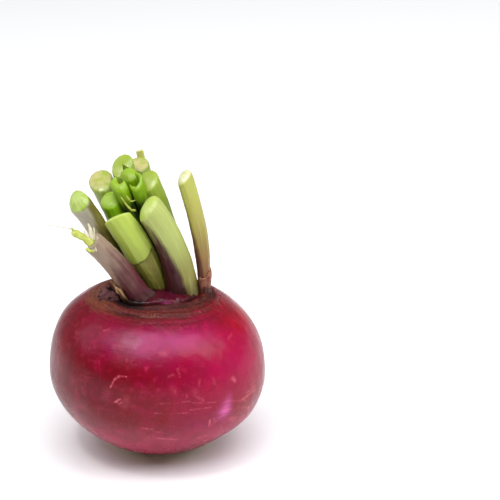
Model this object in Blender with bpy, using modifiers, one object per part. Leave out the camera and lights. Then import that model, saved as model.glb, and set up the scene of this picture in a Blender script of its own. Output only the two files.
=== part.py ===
"""A trimmed red turnip that stands on its root scar.

The swollen root is one turned body. Its leaf stalks were cut off short above the crown, and each
is a loft along a bowed path, from a broad foot on the crown to a rounded cut end. Units are
metres, +Z is up, and the origin is the centre of the flat root scar that the turnip stands on.
"""

import math
from dataclasses import dataclass

import bmesh
import bpy
import numpy as np

MM = 0.001
GAP = 0.3 * MM                  # clearance between neighbouring pieces

# The root in its own frame, about its widest level: two superellipse halves turned about an axis.
ROOT_RADIUS = 42.5 * MM
UPPER_HEIGHT = 33.7 * MM
LOWER_HEIGHT = 34.0 * MM
UPPER_POWER = 2.34              # above 2 the shoulder is fuller than an ellipse's
LOWER_POWER = 1.87              # below 2 the underside is more pointed than an ellipse's
ROOT_CENTRE = (-1.6 * MM, 0.0, 32.7 * MM)
ROOT_LEAN = math.radians(4.0)   # of the axis, towards +X
RIM_GROOVES = ((15.5 * MM, 1.0 * MM), (21.0 * MM, 0.7 * MM), (26.5 * MM, 0.3 * MM))  # radius, depth
GROOVE_WIDTH = 1.3 * MM
RINGED_RADIUS = 29.0 * MM       # the crown inside this radius carries the grooves
ROOT_STEPS = 44
CROWN_ROWS, SIDE_ROWS, LOWER_ROWS = 20, 9, 14

# Stalks
CROWN_LEVEL = 65.5 * MM         # height of the stalks' feet
HEART = np.array([1.0, 5.5]) * MM  # the point on the crown that the stalks stand around
BURIED = 0.14                   # share of a stalk's length that runs below its foot before the trim
STALK_ROWS = 9
STALK_SIDES = 14
DEPTH_TO_WIDTH = 0.92           # a stalk is a little flatter from front to back than it is wide
INNER_FLATNESS = 0.78           # of the side that faces the heart, against the round outer side
END_ROUNDING = 0.16             # height of a rounded cut end, as a share of the width
SLANT_START = 0.7               # share of the length from which the rings slant towards the cut face

# The dried base of an old leaf, and the papery scale at the foot of one stalk
OLD_BASE_CENTRE = (-18.2 * MM, -8.1 * MM, 64.1 * MM)
OLD_BASE_SIZE = (4.2 * MM, 3.5 * MM, 3.8 * MM)
SCALE_THICKNESS = 0.6 * MM
SCALE_HEIGHT = 0.24             # as a share of its stalk's length
SCALE_SPREAD = math.radians(62.0)

SKIN = ("root_skin", (0.42, 0.03, 0.09, 1.0), 0.38)
GREEN = ("green_stalk", (0.48, 0.60, 0.16, 1.0), 0.42)
MAUVE = ("mauve_stalk", (0.38, 0.24, 0.22, 1.0), 0.50)
BRIGHT = ("young_leaf", (0.30, 0.52, 0.05, 1.0), 0.42)
DRIED = ("dried_leaf", (0.24, 0.11, 0.09, 1.0), 0.75)


@dataclass(frozen=True)
class Stalk:
    """One cut leaf stalk, in millimetres; widths are at the foot, the middle and the cut end."""

    name: str
    foot: tuple[float, float]
    tip: tuple[float, float, float]
    bow: tuple[float, float, float]
    widths: tuple[float, float, float]
    finish: tuple = GREEN
    cut_tip: tuple[float, float] = (0.0, 0.0)  # how far the cut face tips towards +X and +Y
    dome: float = END_ROUNDING

    def path(self, share):
        """A straight run from foot to tip, pushed aside by the bow as a parabola."""
        share = np.asarray(share)[:, None]
        foot = np.array([*self.foot, CROWN_LEVEL / MM])
        straight = foot * (1.0 - share) + np.array(self.tip) * share
        return MM * (straight + np.array(self.bow) * 4.0 * share * (1.0 - share))

    def width(self, share):
        """The parabola through the three stated widths."""
        share = np.asarray(share)
        foot, middle, tip = self.widths
        return MM * (
            foot * (1.0 - share) * (1.0 - 2.0 * share)
            + middle * 4.0 * share * (1.0 - share)
            + tip * share * (2.0 * share - 1.0)
        )


STALKS = (
    Stalk("stalk_far_left", (-11.6, 0.0), (-29.0, -4.0, 100.6), (1.2, 0.0, 0.0), (8.0, 9.2, 10.4),
          cut_tip=(-0.15, -0.7), dome=0.26),
    Stalk("stalk_torn", (-6.8, -9.2), (-23.0, -15.5, 89.5), (0.5, 0.0, 1.0), (9.8, 9.6, 8.8), MAUVE,
          cut_tip=(-0.5, -0.3), dome=0.05),
    Stalk("stalk_front_left", (0.0, -1.6), (-14.2, -9.0, 96.2), (1.0, 0.0, 0.5), (6.6, 10.8, 10.6),
          cut_tip=(0.1, 0.5), dome=0.12),
    Stalk("stalk_mid_left", (-4.8, 6.2), (-17.6, 2.5, 98.8), (0.0, 0.0, 0.0), (7.4, 8.2, 9.0),
          cut_tip=(0.35, -0.4), dome=0.24),
    Stalk("stalk_front_right", (9.6, -2.5), (-2.5, -9.0, 99.9), (2.1, 0.0, 1.0), (11.4, 12.0, 10.8),
          cut_tip=(-0.28, -0.1), dome=0.28),
    Stalk("stalk_mid_right", (9.4, 8.0), (-2.7, 5.5, 106.0), (0.6, 0.0, 1.0), (8.0, 8.4, 8.8),
          cut_tip=(-0.25, -0.5), dome=0.20),
    Stalk("stalk_far_right", (17.5, 0.8), (10.5, 2.0, 108.5), (1.8, 0.0, 0.5), (5.6, 7.4, 7.6),
          cut_tip=(-0.4, -0.3), dome=0.26),
    Stalk("stalk_back_left", (-12.5, 10.4), (-22.6, 13.0, 103.9), (0.8, 0.0, 0.0), (7.6, 7.8, 9.8),
          cut_tip=(0.25, -0.5)),
    Stalk("stalk_back_middle", (-4.0, 15.0), (-13.8, 14.5, 110.4), (0.0, 0.0, 0.0), (8.2, 9.0, 9.4),
          cut_tip=(-0.1, -0.75), dome=0.12),
    Stalk("stalk_back_right", (5.2, 15.4), (-8.6, 22.7, 108.4), (0.0, 0.0, 0.0), (7.4, 7.8, 9.0),
          cut_tip=(0.0, -0.2), dome=0.12),
    Stalk("stalk_thin", (1.0, 21.0), (-8.6, 29.0, 112.4), (0.0, 0.0, 0.0), (3.0, 2.9, 2.8)),
    Stalk("heart_stalk", (2.8, 7.2), (-11.0, 6.9, 108.4), (0.0, 0.0, 0.0), (3.4, 4.6, 6.4), BRIGHT,
          cut_tip=(0.0, -0.3), dome=0.30),
    Stalk("heart_leaf_left", (0.4, 3.8), (-12.7, -0.2, 107.5), (0.0, 0.0, 0.0), (3.2, 4.4, 5.2), BRIGHT,
          cut_tip=(0.2, -0.3)),
    Stalk("heart_leaf_right", (5.0, 3.0), (-7.1, -0.4, 108.0), (0.0, 0.0, 0.0), (3.2, 4.4, 5.0), BRIGHT,
          cut_tip=(-0.1, -0.6)),
)
SCALED_STALK = "stalk_far_right"


def clear_scene():
    """Remove every object that the file opened with."""
    for thing in list(bpy.data.objects):
        bpy.data.objects.remove(thing, do_unlink=True)


def new_collection(name):
    """Link a new collection to the scene."""
    collection = bpy.data.collections.new(name)
    bpy.context.scene.collection.children.link(collection)
    return collection


def coloured(piece, finish):
    """Give a piece its own Principled material, from a name, a base colour and a roughness."""
    name, colour, roughness = finish
    material = bpy.data.materials.new(f"{piece.name}_{name}")
    material.use_nodes = True
    shader = material.node_tree.nodes["Principled BSDF"]
    shader.inputs["Base Color"].default_value = colour
    shader.inputs["Roughness"].default_value = roughness
    shader.inputs["Metallic"].default_value = 0.0
    material.diffuse_color = colour
    piece.data.materials.append(material)


def add_object(name, mesh, collection):
    """Link a new object, shaded smooth except over sharp edges."""
    mesh.shade_smooth()
    mesh.set_sharp_from_angle(angle=math.radians(40.0))
    piece = bpy.data.objects.new(name, mesh)
    collection.objects.link(piece)
    return piece


def superellipse(angle, radius, height, power):
    """A point of a superellipse quarter, at an angle up from its widest level."""
    return (
        radius * np.abs(np.cos(angle)) ** (2.0 / power),
        height * np.abs(np.sin(angle)) ** (2.0 / power),
    )


def crown_height(radius, swell):
    """Height of the upper half over its widest level at a radius from the axis."""
    share = np.clip(radius / (ROOT_RADIUS + swell), 0.0, 1.0)
    return (UPPER_HEIGHT + swell) * (1.0 - share**UPPER_POWER) ** (1.0 / UPPER_POWER)


def root_profile(swell, grooved):
    """The root's outline from the top of its axis to the bottom, swelled by a clearance."""
    radius = np.linspace(0.0, RINGED_RADIUS, CROWN_ROWS)
    height = crown_height(radius, swell)
    if grooved:
        for ring, depth in RIM_GROOVES:
            height = height - depth * np.exp(-(((radius - ring) / GROOVE_WIDTH) ** 2))
    reach = RINGED_RADIUS / (ROOT_RADIUS + swell)
    start = math.acos(reach ** (UPPER_POWER / 2.0))
    side = superellipse(
        np.linspace(start, 0.0, SIDE_ROWS)[1:],
        ROOT_RADIUS + swell,
        UPPER_HEIGHT + swell,
        UPPER_POWER,
    )
    under = superellipse(
        np.linspace(0.0, math.pi / 2.0, LOWER_ROWS)[1:],
        ROOT_RADIUS + swell,
        LOWER_HEIGHT + swell,
        LOWER_POWER,
    )
    across = np.concatenate([radius, side[0], under[0]])
    across[-1] = 0.0
    return across, np.concatenate([height, side[1], -under[1]])


def turned(name, profile, collection):
    """Turn an outline about the root's leaning axis."""
    across, height = profile
    points = [(float(r), 0.0, float(z)) for r, z in zip(across, height)]
    mesh = bpy.data.meshes.new(name)
    mesh.from_pydata(points, [(i, i + 1) for i in range(len(points) - 1)], [])
    piece = bpy.data.objects.new(name, mesh)
    collection.objects.link(piece)
    piece.location = ROOT_CENTRE
    piece.rotation_euler = (0.0, ROOT_LEAN, 0.0)
    screw = piece.modifiers.new("turn", "SCREW")
    screw.steps = screw.render_steps = ROOT_STEPS
    screw.use_merge_vertices = True
    screw.merge_threshold = 0.01 * MM
    screw.use_smooth_shade = True
    return piece


def hide_cutter(cutter):
    """Mark an object as a tool that isn't part of the turnip."""
    cutter.hide_render = True
    cutter.display_type = "WIRE"


def trim(piece, cutter):
    """Cut a piece back from a cutter."""
    cut = piece.modifiers.new(f"trim_{cutter.name}", "BOOLEAN")
    cut.operation = "DIFFERENCE"
    cut.solver = "EXACT"
    cut.object = cutter


def build_ground_cutter(collection):
    """The block below the flat root scar."""
    mesh = bpy.data.meshes.new("ground_cutter")
    block = bmesh.new()
    bmesh.ops.create_cube(block, size=1.0)
    bmesh.ops.scale(block, vec=(4 * ROOT_RADIUS, 4 * ROOT_RADIUS, ROOT_RADIUS), verts=block.verts)
    bmesh.ops.translate(block, vec=(0.0, 0.0, -ROOT_RADIUS / 2.0), verts=block.verts)
    block.to_mesh(mesh)
    block.free()
    cutter = bpy.data.objects.new("ground_cutter", mesh)
    collection.objects.link(cutter)
    hide_cutter(cutter)
    return cutter


def build_crown_cutter(collection):
    """The root swelled by the gap, which the feet of the stalks are trimmed to."""
    cutter = turned("crown_cutter", root_profile(swell=GAP, grooved=False), collection)
    hide_cutter(cutter)
    return cutter


def build_root(ground_cutter, collection):
    """The swollen root with the grooved crown, cut flat at the root scar."""
    root = turned("root", root_profile(swell=0.0, grooved=True), collection)
    trim(root, ground_cutter)
    coloured(root, SKIN)
    return root


def frames(stalk, share):
    """Across, outward and along directions of a stalk at shares of its length."""
    step = 1e-4
    along = stalk.path(share + step) - stalk.path(share - step)
    along /= np.linalg.norm(along, axis=1)[:, None]
    away = np.array(stalk.foot) * MM - HEART
    outward = np.array([*away, 0.0]) / np.linalg.norm(away)
    outward = outward - along * (along @ outward)[:, None]
    outward /= np.linalg.norm(outward, axis=1)[:, None]
    return np.cross(along, outward), outward, along


def loft(name, rings, collection):
    """Skin a closed body over rings of equally many points, each end closed by one face."""
    rows, sides, _ = rings.shape
    body = bmesh.new()
    verts = [[body.verts.new(point) for point in ring] for ring in rings.tolist()]
    for lower, upper in zip(verts, verts[1:]):
        for i in range(sides):
            j = (i + 1) % sides
            body.faces.new((lower[i], lower[j], upper[j], upper[i]))
    body.faces.new(verts[0][::-1])
    body.faces.new(verts[rows - 1])
    bmesh.ops.recalc_face_normals(body, faces=body.faces)
    mesh = bpy.data.meshes.new(name)
    body.to_mesh(mesh)
    body.free()
    return add_object(name, mesh, collection)


def stalk_rings(stalk):
    """Rings round outside and flatter inside, which shrink over the rounded cut end."""
    share = np.linspace(-BURIED, 1.0, STALK_ROWS)
    across, outward, along = frames(stalk, share)
    half = stalk.width(np.clip(share, 0.0, 1.0)) / 2.0
    middle = stalk.path(share)
    for shrink, rise in ((0.86, 0.6), (0.5, 1.0)):
        height = rise * stalk.dome * 2.0 * half[STALK_ROWS - 1]
        middle = np.vstack([middle, middle[STALK_ROWS - 1] + along[STALK_ROWS - 1] * height])
        half = np.append(half, half[STALK_ROWS - 1] * shrink)
    pad = np.minimum(np.arange(len(half)), STALK_ROWS - 1)
    turn = np.linspace(0.0, 2.0 * math.pi, STALK_SIDES, endpoint=False)
    sideways = np.cos(turn)
    depth = np.sin(turn)
    depth = DEPTH_TO_WIDTH * np.where(depth < 0.0, INNER_FLATNESS * depth, depth)
    offset = (
        across[pad][:, None] * (half[:, None] * sideways)[:, :, None]
        + outward[pad][:, None] * (half[:, None] * depth)[:, :, None]
    )
    run = along[pad]
    face = run + np.array([*stalk.cut_tip, 0.0])
    slant = np.clip((share[pad] - SLANT_START) / (1.0 - SLANT_START), 0.0, 1.0)
    lift = -(offset * face[:, None]).sum(-1) / (run * face).sum(-1)[:, None] * slant[:, None]
    return middle[:, None] + offset + run[:, None] * lift[:, :, None]


def build_stalk(stalk, crown_cutter, collection):
    """One leaf stalk, trimmed to the crown that it stands on."""
    piece = loft(stalk.name, stalk_rings(stalk), collection)
    trim(piece, crown_cutter)
    coloured(piece, stalk.finish)
    return piece


def build_scale(stalk, crown_cutter, collection):
    """A papery scale that clasps the outer side of a stalk's foot."""
    share = np.linspace(-BURIED, SCALE_HEIGHT, 5)
    across, outward, _ = frames(stalk, share)
    half = stalk.width(np.clip(share, 0.0, 1.0)) / 2.0
    turn = np.linspace(math.pi / 2.0 - SCALE_SPREAD, math.pi / 2.0 + SCALE_SPREAD, 7)
    inner = (half + GAP * 2.4)[:, None]
    outer = inner + SCALE_THICKNESS
    sideways = np.hstack([outer * np.cos(turn), inner * np.cos(turn[::-1])])
    depth = np.hstack([outer * np.sin(turn), inner * np.sin(turn[::-1])])
    rings = (
        stalk.path(share)[:, None]
        + across[:, None] * sideways[:, :, None]
        + outward[:, None] * depth[:, :, None]
    )
    piece = loft("papery_scale", rings, collection)
    trim(piece, crown_cutter)
    coloured(piece, DRIED)
    return piece


def build_old_leaf_base(crown_cutter, collection):
    """The shrivelled knob that a fallen leaf left on the shoulder."""
    mesh = bpy.data.meshes.new("old_leaf_base")
    knob = bmesh.new()
    bmesh.ops.create_uvsphere(knob, u_segments=16, v_segments=10, radius=1.0)
    bmesh.ops.scale(knob, vec=OLD_BASE_SIZE, verts=knob.verts)
    bmesh.ops.translate(knob, vec=OLD_BASE_CENTRE, verts=knob.verts)
    knob.to_mesh(mesh)
    knob.free()
    piece = add_object("old_leaf_base", mesh, collection)
    trim(piece, crown_cutter)
    coloured(piece, DRIED)
    return piece


def main():
    """Build the turnip and the cutters that trim it."""
    clear_scene()
    cutters = new_collection("cutters")
    turnip = new_collection("turnip")
    crown_cutter = build_crown_cutter(cutters)
    build_root(build_ground_cutter(cutters), turnip)
    for stalk in STALKS:
        build_stalk(stalk, crown_cutter, turnip)
        if stalk.name == SCALED_STALK:
            build_scale(stalk, crown_cutter, turnip)
    build_old_leaf_base(crown_cutter, turnip)


main()
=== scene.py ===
"""The looks of a trimmed red turnip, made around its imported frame.

The root is one turned surface whose outline, crown rings and unevenness are worked out on a grid.
Every leaf stalk is a section carried along a bowed path and closed by a rounded cut end. Sizes are
in millimetres in the tables and the dataclass fields, and in metres in the meshes.
"""

import logging
import math
from collections.abc import Sequence
from dataclasses import dataclass, field
from enum import Enum

import bpy
import numpy as np
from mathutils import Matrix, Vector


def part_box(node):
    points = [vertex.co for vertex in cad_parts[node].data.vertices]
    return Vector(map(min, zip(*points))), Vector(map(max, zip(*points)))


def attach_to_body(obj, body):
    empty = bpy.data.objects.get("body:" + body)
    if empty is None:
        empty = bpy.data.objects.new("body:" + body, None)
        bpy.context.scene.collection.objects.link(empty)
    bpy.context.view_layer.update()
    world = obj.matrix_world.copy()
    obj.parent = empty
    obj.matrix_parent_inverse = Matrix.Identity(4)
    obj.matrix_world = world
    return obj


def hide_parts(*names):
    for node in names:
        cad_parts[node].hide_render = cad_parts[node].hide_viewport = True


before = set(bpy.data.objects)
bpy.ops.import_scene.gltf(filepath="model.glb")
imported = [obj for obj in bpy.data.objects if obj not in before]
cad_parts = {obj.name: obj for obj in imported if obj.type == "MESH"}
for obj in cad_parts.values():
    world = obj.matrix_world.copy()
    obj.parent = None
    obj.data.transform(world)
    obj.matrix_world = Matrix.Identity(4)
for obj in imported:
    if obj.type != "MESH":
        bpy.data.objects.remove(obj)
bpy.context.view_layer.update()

log = logging.getLogger("turnip")

MM = 0.001
BODY = "root"
CROWN_LEVEL = 65.5
HEART = (1.0, 5.5)
Array = np.ndarray
Masks = dict[str, Array]
Vec3 = tuple[float, float, float]
Colour = tuple[float, float, float, float]
Piece = bpy.types.Object
Material = bpy.types.Material
Socket = bpy.types.NodeSocket
Feed = Socket | float | tuple
"""What feeds a node's input: a socket, or a plain value."""


# ---- Numbers and surfaces ----


def smooth(low: float, high: float, value: Array) -> Array:
    """Rise from 0 at low to 1 at high as 3t^2 - 2t^3; with high below low it falls."""
    share = np.clip((value - low) / (high - low), 0.0, 1.0)
    return share * share * (3.0 - 2.0 * share)


def bell(value: Array, centre: float, width: float) -> Array:
    """A bell of height 1 about a centre: exp(-((value - centre) / width)^2)."""
    return np.exp(-(((value - centre) / width) ** 2))


def turned_from(angle: Array, centre_deg: float) -> Array:
    """How far each angle lies from a centre, in degrees between -180 and 180."""
    return (np.degrees(angle) - centre_deg + 180.0) % 360.0 - 180.0


def sector(angle: Array, centre_deg: float, width: float) -> Array:
    """A bell about a direction, with its centre and width in degrees."""
    return bell(turned_from(angle, centre_deg), 0.0, width)


def section_grid(shares: Array, sides: int, way: float = 1.0) -> tuple[Array, Array]:
    """Grids of the share of a length and of the turn round a section, which a way of -1 turns back."""
    return np.meshgrid(shares, np.linspace(0.0, way * 2.0 * math.pi, sides, endpoint=False), indexing="ij")


def unit(vectors: Array) -> Array:
    """The same directions at length 1, along the last axis."""
    return vectors / np.maximum(np.linalg.norm(vectors, axis=-1, keepdims=True), 1e-12)


def dot(first: Array, second: Array) -> Array:
    """The dot product along the last axis."""
    return (first * second).sum(-1)


@dataclass(frozen=True)
class Wobble:
    """Smooth unevenness through space: a mean of sine waves drawn once from a seed.

    Attributes:
        seed: Picks the waves.
        size: Their typical length, in metres.
    """

    seed: int
    size: float
    waves = 12

    def __call__(self, points: Array) -> Array:
        """Values of about -1 to 1 at points whose coordinates lie along the last axis.

        Args:
            points: The points.

        Returns:
            One value for each point.
        """
        draw = np.random.default_rng(self.seed)
        direction = unit(draw.normal(size=(self.waves, 3)))
        length = self.size * draw.uniform(0.6, 1.5, self.waves)
        phase = draw.uniform(0.0, 2.0 * math.pi, self.waves)
        turn = points @ (direction / length[:, None]).T * 2.0 * math.pi + phase
        return np.sin(turn).mean(axis=-1) * math.sqrt(self.waves) * 0.75


class End(Enum):
    """How a surface's first or last row is closed."""

    OPEN = "left open"
    POLE = "a fan of triangles to one middle point"
    ZIP = "quads between the two sides of a thin section"


@dataclass
class Surface:
    """A grid of points with its masks; its columns run round and close unless it is flat."""

    grid: Array
    masks: Masks
    first: End = End.POLE
    last: End = End.POLE
    flat: bool = False

    def side_faces(self, number: Array) -> Array:
        """One quad for each cell of the grid, down a row first and then along it.

        Args:
            number: The number of each point of the grid.

        Returns:
            Rows of four point numbers.
        """
        left = number[:, :-1] if self.flat else number
        right = number[:, 1:] if self.flat else np.roll(number, -1, axis=1)
        return np.stack([left[:-1], left[1:], right[1:], right[:-1]], axis=-1).reshape(-1, 4)

    def end_faces(self, row: Array, end: End, pole: int) -> list[list[int]]:
        """Faces that close a row whose outer side is seen with its numbers running anticlockwise.

        Args:
            row: Numbers of the row's points.
            end: How to close it.
            pole: Number of its middle point.

        Returns:
            Lists of three or four point numbers.
        """
        after = np.roll(row, -1)
        if end is End.POLE:
            return np.stack([row, after, np.full_like(row, pole)], -1).tolist()
        if end is End.ZIP:
            half = len(row) // 2
            near, far = row[:half], row[1 : half + 1]
            far_back, near_back = np.roll(row[::-1], 1)[1 : half + 1], np.roll(row[::-1], 1)[:half]
            quads = np.stack([near, far, far_back, near_back], -1).tolist()
            return [list(dict.fromkeys(quad)) for quad in quads]
        return []

    def parts(self) -> tuple[Array, list[list[int]], Masks]:
        """Points, faces and masks of the points, with the two middle points at the end.

        Returns:
            The points, the faces as lists of point numbers, and the masks by name.
        """
        rows, columns = self.grid.shape[:2]
        number = np.arange(rows * columns).reshape(rows, columns)
        faces = self.side_faces(number).tolist()
        points = [self.grid.reshape(-1, 3)]
        masks = {name: [mask.reshape(rows * columns, -1)] for name, mask in self.masks.items()}
        pole = rows * columns
        for end, at, row in ((self.first, 0, number[0]), (self.last, -1, number[-1][::-1])):
            faces += self.end_faces(row, end, pole)
            if end is End.POLE:
                points.append(self.grid[at].mean(axis=0)[None])
                for name, mask in self.masks.items():
                    masks[name].append(mask[at].reshape(columns, -1).mean(axis=0)[None])
                pole += 1
        return np.concatenate(points), faces, {name: np.concatenate(m) for name, m in masks.items()}


def make_piece(name: str, surfaces: Sequence[Surface], material: Material) -> Piece:
    """One smooth object from surfaces, with their masks as point attributes.

    Args:
        name: The piece's name.
        surfaces: The surfaces to join, all with the same masks.
        material: What the piece is dressed in.

    Returns:
        The new object, at the origin.
    """
    points, faces, start = [], [], 0
    masks: dict[str, list[Array]] = {key: [] for key in surfaces[0].masks}
    for surface in surfaces:
        its_points, its_faces, its_masks = surface.parts()
        faces += [[corner + start for corner in face] for face in its_faces]
        points.append(its_points)
        start += len(its_points)
        for key, values in its_masks.items():
            masks[key].append(values)
    mesh = bpy.data.meshes.new(name)
    mesh.from_pydata(np.concatenate(points).tolist(), [], faces)
    for key, values in masks.items():
        whole = np.concatenate(values).astype(np.float32)
        kind, slot = ("FLOAT", "value") if whole.shape[1] == 1 else ("FLOAT_VECTOR", "vector")
        mesh.attributes.new(key, kind, "POINT").data.foreach_set(slot, whole.ravel())
    mesh.shade_smooth()
    mesh.update()
    mesh.materials.append(material)
    piece = bpy.data.objects.new(name, mesh)
    bpy.context.scene.collection.objects.link(piece)
    return piece


def attach(piece: Piece, slot: str, *nodes: str) -> Piece:
    """Let a piece ride on the turnip and hide the CAD nodes that it stands for.

    Args:
        piece: The piece.
        slot: Its material slot; not used.
        nodes: Names of the nodes.

    Returns:
        The same piece.
    """
    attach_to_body(piece, BODY)
    if nodes:
        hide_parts(*nodes)
    log.info("%s: %d faces", piece.name, len(piece.data.polygons))
    return piece


def normals_of(grid: Array) -> Array:
    """Outward normals of a closed grid: down the rows crossed with along them.

    Args:
        grid: The points.

    Returns:
        A direction for each point.
    """
    down = np.gradient(grid, axis=0)
    along = np.roll(grid, -1, axis=1) - np.roll(grid, 1, axis=1)
    return unit(np.cross(down, along))


# ---- Finishes ----


def tint(red: int, green: int, blue: int) -> Colour:
    """A display colour of 0 to 255 as a linear colour with full alpha.

    Args:
        red: Its red.
        green: Its green.
        blue: Its blue.

    Returns:
        The linear colour.
    """
    display = np.array([red, green, blue]) / 255.0
    linear = np.where(display <= 0.04045, display / 12.92, ((display + 0.055) / 1.055) ** 2.4)
    return (*map(float, linear), 1.0)


class Place(Enum):
    """What a pattern takes its place from: the object, or the grain that follows the surface."""

    OBJECT = "object"
    GRAIN = "grain"


class Nodes:
    """A node tree, with short ways to add nodes and feed them."""

    def __init__(self, tree: bpy.types.NodeTree) -> None:
        """Take the tree to add to."""
        self.tree = tree

    def link(self, source: Feed, target: Socket) -> None:
        """Join a socket to another, or set a plain value on it.

        Args:
            source: The socket or value.
            target: The socket that takes it.
        """
        if isinstance(source, Socket):
            self.tree.links.new(source, target)
        else:
            target.default_value = source

    def node(self, kind: str, feeds: dict[str | int, Feed] | None = None, **settings: object) -> bpy.types.Node:
        """Add a node.

        Args:
            kind: Its type, without ShaderNode.
            feeds: What goes into its inputs, by name or number.
            settings: Its properties.

        Returns:
            The node.
        """
        node = self.tree.nodes.new(f"ShaderNode{kind}")
        for key, value in settings.items():
            setattr(node, key, value)
        for place, source in (feeds or {}).items():
            self.link(source, node.inputs[place])
        return node

    def range(self, value: Socket, low: float, high: float, start: float = 0.0, end: float = 1.0) -> Socket:
        """Map low..high smoothly onto start..end, and hold outside it."""
        feeds = {"Value": value, "From Min": low, "From Max": high, "To Min": start, "To Max": end}
        return self.node("MapRange", feeds, interpolation_type="SMOOTHSTEP").outputs["Result"]

    def math(self, operation: str, *values: Socket | float) -> Socket:
        """Arithmetic on values, from left to right.

        Args:
            operation: Its name.
            values: Two or more values.

        Returns:
            The result.
        """
        result = values[0]
        for value in values[1:]:
            result = self.node("Math", {0: result, 1: value}, operation=operation).outputs["Value"]
        return result


class Painter(Nodes):
    """A material's nodes, and the patterns and colours that feed its Principled shader."""

    def __init__(self, name: str) -> None:
        """Start a material of the given name.

        Args:
            name: The material's name.
        """
        self.material = bpy.data.materials.new(name)
        self.material.use_nodes = True
        super().__init__(self.material.node_tree)
        self.shader = self.tree.nodes["Principled BSDF"]
        self.object_place = self.node("TexCoord").outputs["Object"]

    def mask(self, name: str) -> Socket:
        """A point attribute's value."""
        return self.node("Attribute", attribute_name=name).outputs["Fac"]

    def place(self, kind: Place, stretch: Vec3) -> Socket:
        """Coordinates of a kind, each axis multiplied by its stretch.

        Args:
            kind: What they are taken from.
            stretch: Factor on each axis.

        Returns:
            The coordinates.
        """
        source = self.object_place
        if kind is Place.GRAIN:
            source = self.node("Attribute", attribute_name="grain").outputs["Vector"]
        return self.node("Mapping", {"Vector": source, "Scale": stretch}).outputs["Vector"]

    def noise(
        self, scale: float, detail: float = 3.0, stretch: Vec3 = (1.0, 1.0, 1.0), kind: Place = Place.OBJECT
    ) -> Socket:
        """Noise of about 0.2 to 0.8.

        Args:
            scale: Waves in each unit.
            detail: Octaves.
            stretch: Factor on each axis before the scale.
            kind: What it takes its place from.

        Returns:
            The value.
        """
        feeds = {"Vector": self.place(kind, stretch), "Scale": scale, "Detail": detail, "Roughness": 0.55}
        return self.node("TexNoise", feeds).outputs["Fac"]

    def grain(self, detail: float, round_it: float, along: float) -> Socket:
        """Noise that follows the surface, by its waves round it and along it."""
        return self.noise(1.0, detail, (round_it, round_it, along), Place.GRAIN)

    def specks(self, scale: float, size: float, stretch: Vec3 = (1.0, 1.0, 1.0)) -> Socket:
        """Scattered spots, 1 inside and 0 past the size, which is a share of their spacing."""
        spots = self.node("TexVoronoi", {"Vector": self.place(Place.OBJECT, stretch), "Scale": scale})
        return self.range(spots.outputs["Distance"], size, size * 0.3)

    def ragged(self, mask: Socket, waves: Socket, push: float, low: float = 0.3, high: float = 0.7) -> Socket:
        """A mask with waves added to it, mapped from low..high onto -push..push, which tear its edge."""
        return self.math("ADD", mask, self.range(waves, low, high, -push, push))

    def clouds(self, scale: float, detail: float, low: float, high: float, most: float = 1.0) -> Socket:
        """Patches of noise: 0 where it is under low, and most where it is over high."""
        return self.range(self.noise(scale, detail), low, high, 0.0, most)

    def mix(self, share: Socket | float, first: Socket | Colour, second: Socket | Colour) -> Socket:
        """A colour between two, by a share."""
        return self.node("Mix", {0: share, 6: first, 7: second}, data_type="RGBA").outputs[2]

    def coats(self, colour: Socket | Colour, *coats: tuple[Socket | float, Socket | Colour]) -> Socket:
        """A colour with coats laid over it one by one, each a share and a colour.

        Args:
            colour: The colour below.
            coats: What lies over it, from the lowest.

        Returns:
            The colour.
        """
        for share, coat in coats:
            colour = self.mix(share, colour, coat)
        return colour

    def vector(self, operation: str, result: str, *values: Socket | Vec3) -> Socket:
        """A named result of a vector operation on values."""
        return self.node("VectorMath", dict(enumerate(values)), operation=operation).outputs[result]

    def worn(self, size: float, push: float) -> Socket:
        """Object coordinates pushed about by noise, which gives strokes ragged edges.

        Args:
            size: Length of the noise's waves, in metres.
            push: How far a wave pushes, in metres.

        Returns:
            The coordinates.
        """
        waves = self.node("TexNoise", {"Vector": self.object_place, "Scale": 1.0 / size, "Detail": 3.0})
        centred = self.vector("SUBTRACT", "Vector", waves.outputs["Color"], (0.5, 0.5, 0.5))
        return self.vector("MULTIPLY_ADD", "Vector", centred, (push, push, push), self.object_place)

    def stroke(self, place: Socket, start: Vec3, end: Vec3, width: float) -> Socket:
        """A line between two points in space: 1 on it, fading to 0 at its width.

        A point p is at the distance |p - a - t (b - a)| from it, where t is
        (p - a) . (b - a) / |b - a|^2, held between 0 and 1.

        Args:
            place: Coordinates of the surface.
            start: One end, in metres.
            end: The other end.
            width: Where it has faded out, in metres.

        Returns:
            Its strength.
        """
        span = np.subtract(end, start)
        from_start = self.vector("SUBTRACT", "Vector", place, start)
        share = self.vector("DOT_PRODUCT", "Value", from_start, tuple(span / (span @ span)))
        held = self.node("Clamp", {"Value": share}).outputs["Result"]
        foot = self.node("VectorMath", {0: tuple(span), "Scale": held}, operation="SCALE").outputs["Vector"]
        return self.range(self.vector("DISTANCE", "Value", from_start, foot), width, 0.0)

    def bump(self, height: Socket, distance: float, under: Socket | None = None) -> Socket:
        """A normal that follows a height.

        Args:
            height: The height, of 0 to 1.
            distance: What a height of 1 is, in metres.
            under: The normal of a coarser bump below this one.

        Returns:
            The normal.
        """
        feeds = {"Height": height, "Distance": distance} | ({} if under is None else {"Normal": under})
        return self.node("Bump", feeds).outputs["Normal"]

    def finish(self, colour: Socket, roughness: Socket, normal: Socket | None = None, **plain: Feed) -> Material:
        """Feed the shader and set its plain sockets, named with _ for a space.

        Args:
            colour: The base colour.
            roughness: The roughness.
            normal: The normal, if it is bumpy.
            plain: Values of other sockets.

        Returns:
            The material.
        """
        bumps = {} if normal is None else {"Normal": normal}
        for key, source in ({"Base_Color": colour, "Roughness": roughness} | bumps | plain).items():
            self.link(source, self.shader.inputs[key.replace("_", " ")])
        return self.material


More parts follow.
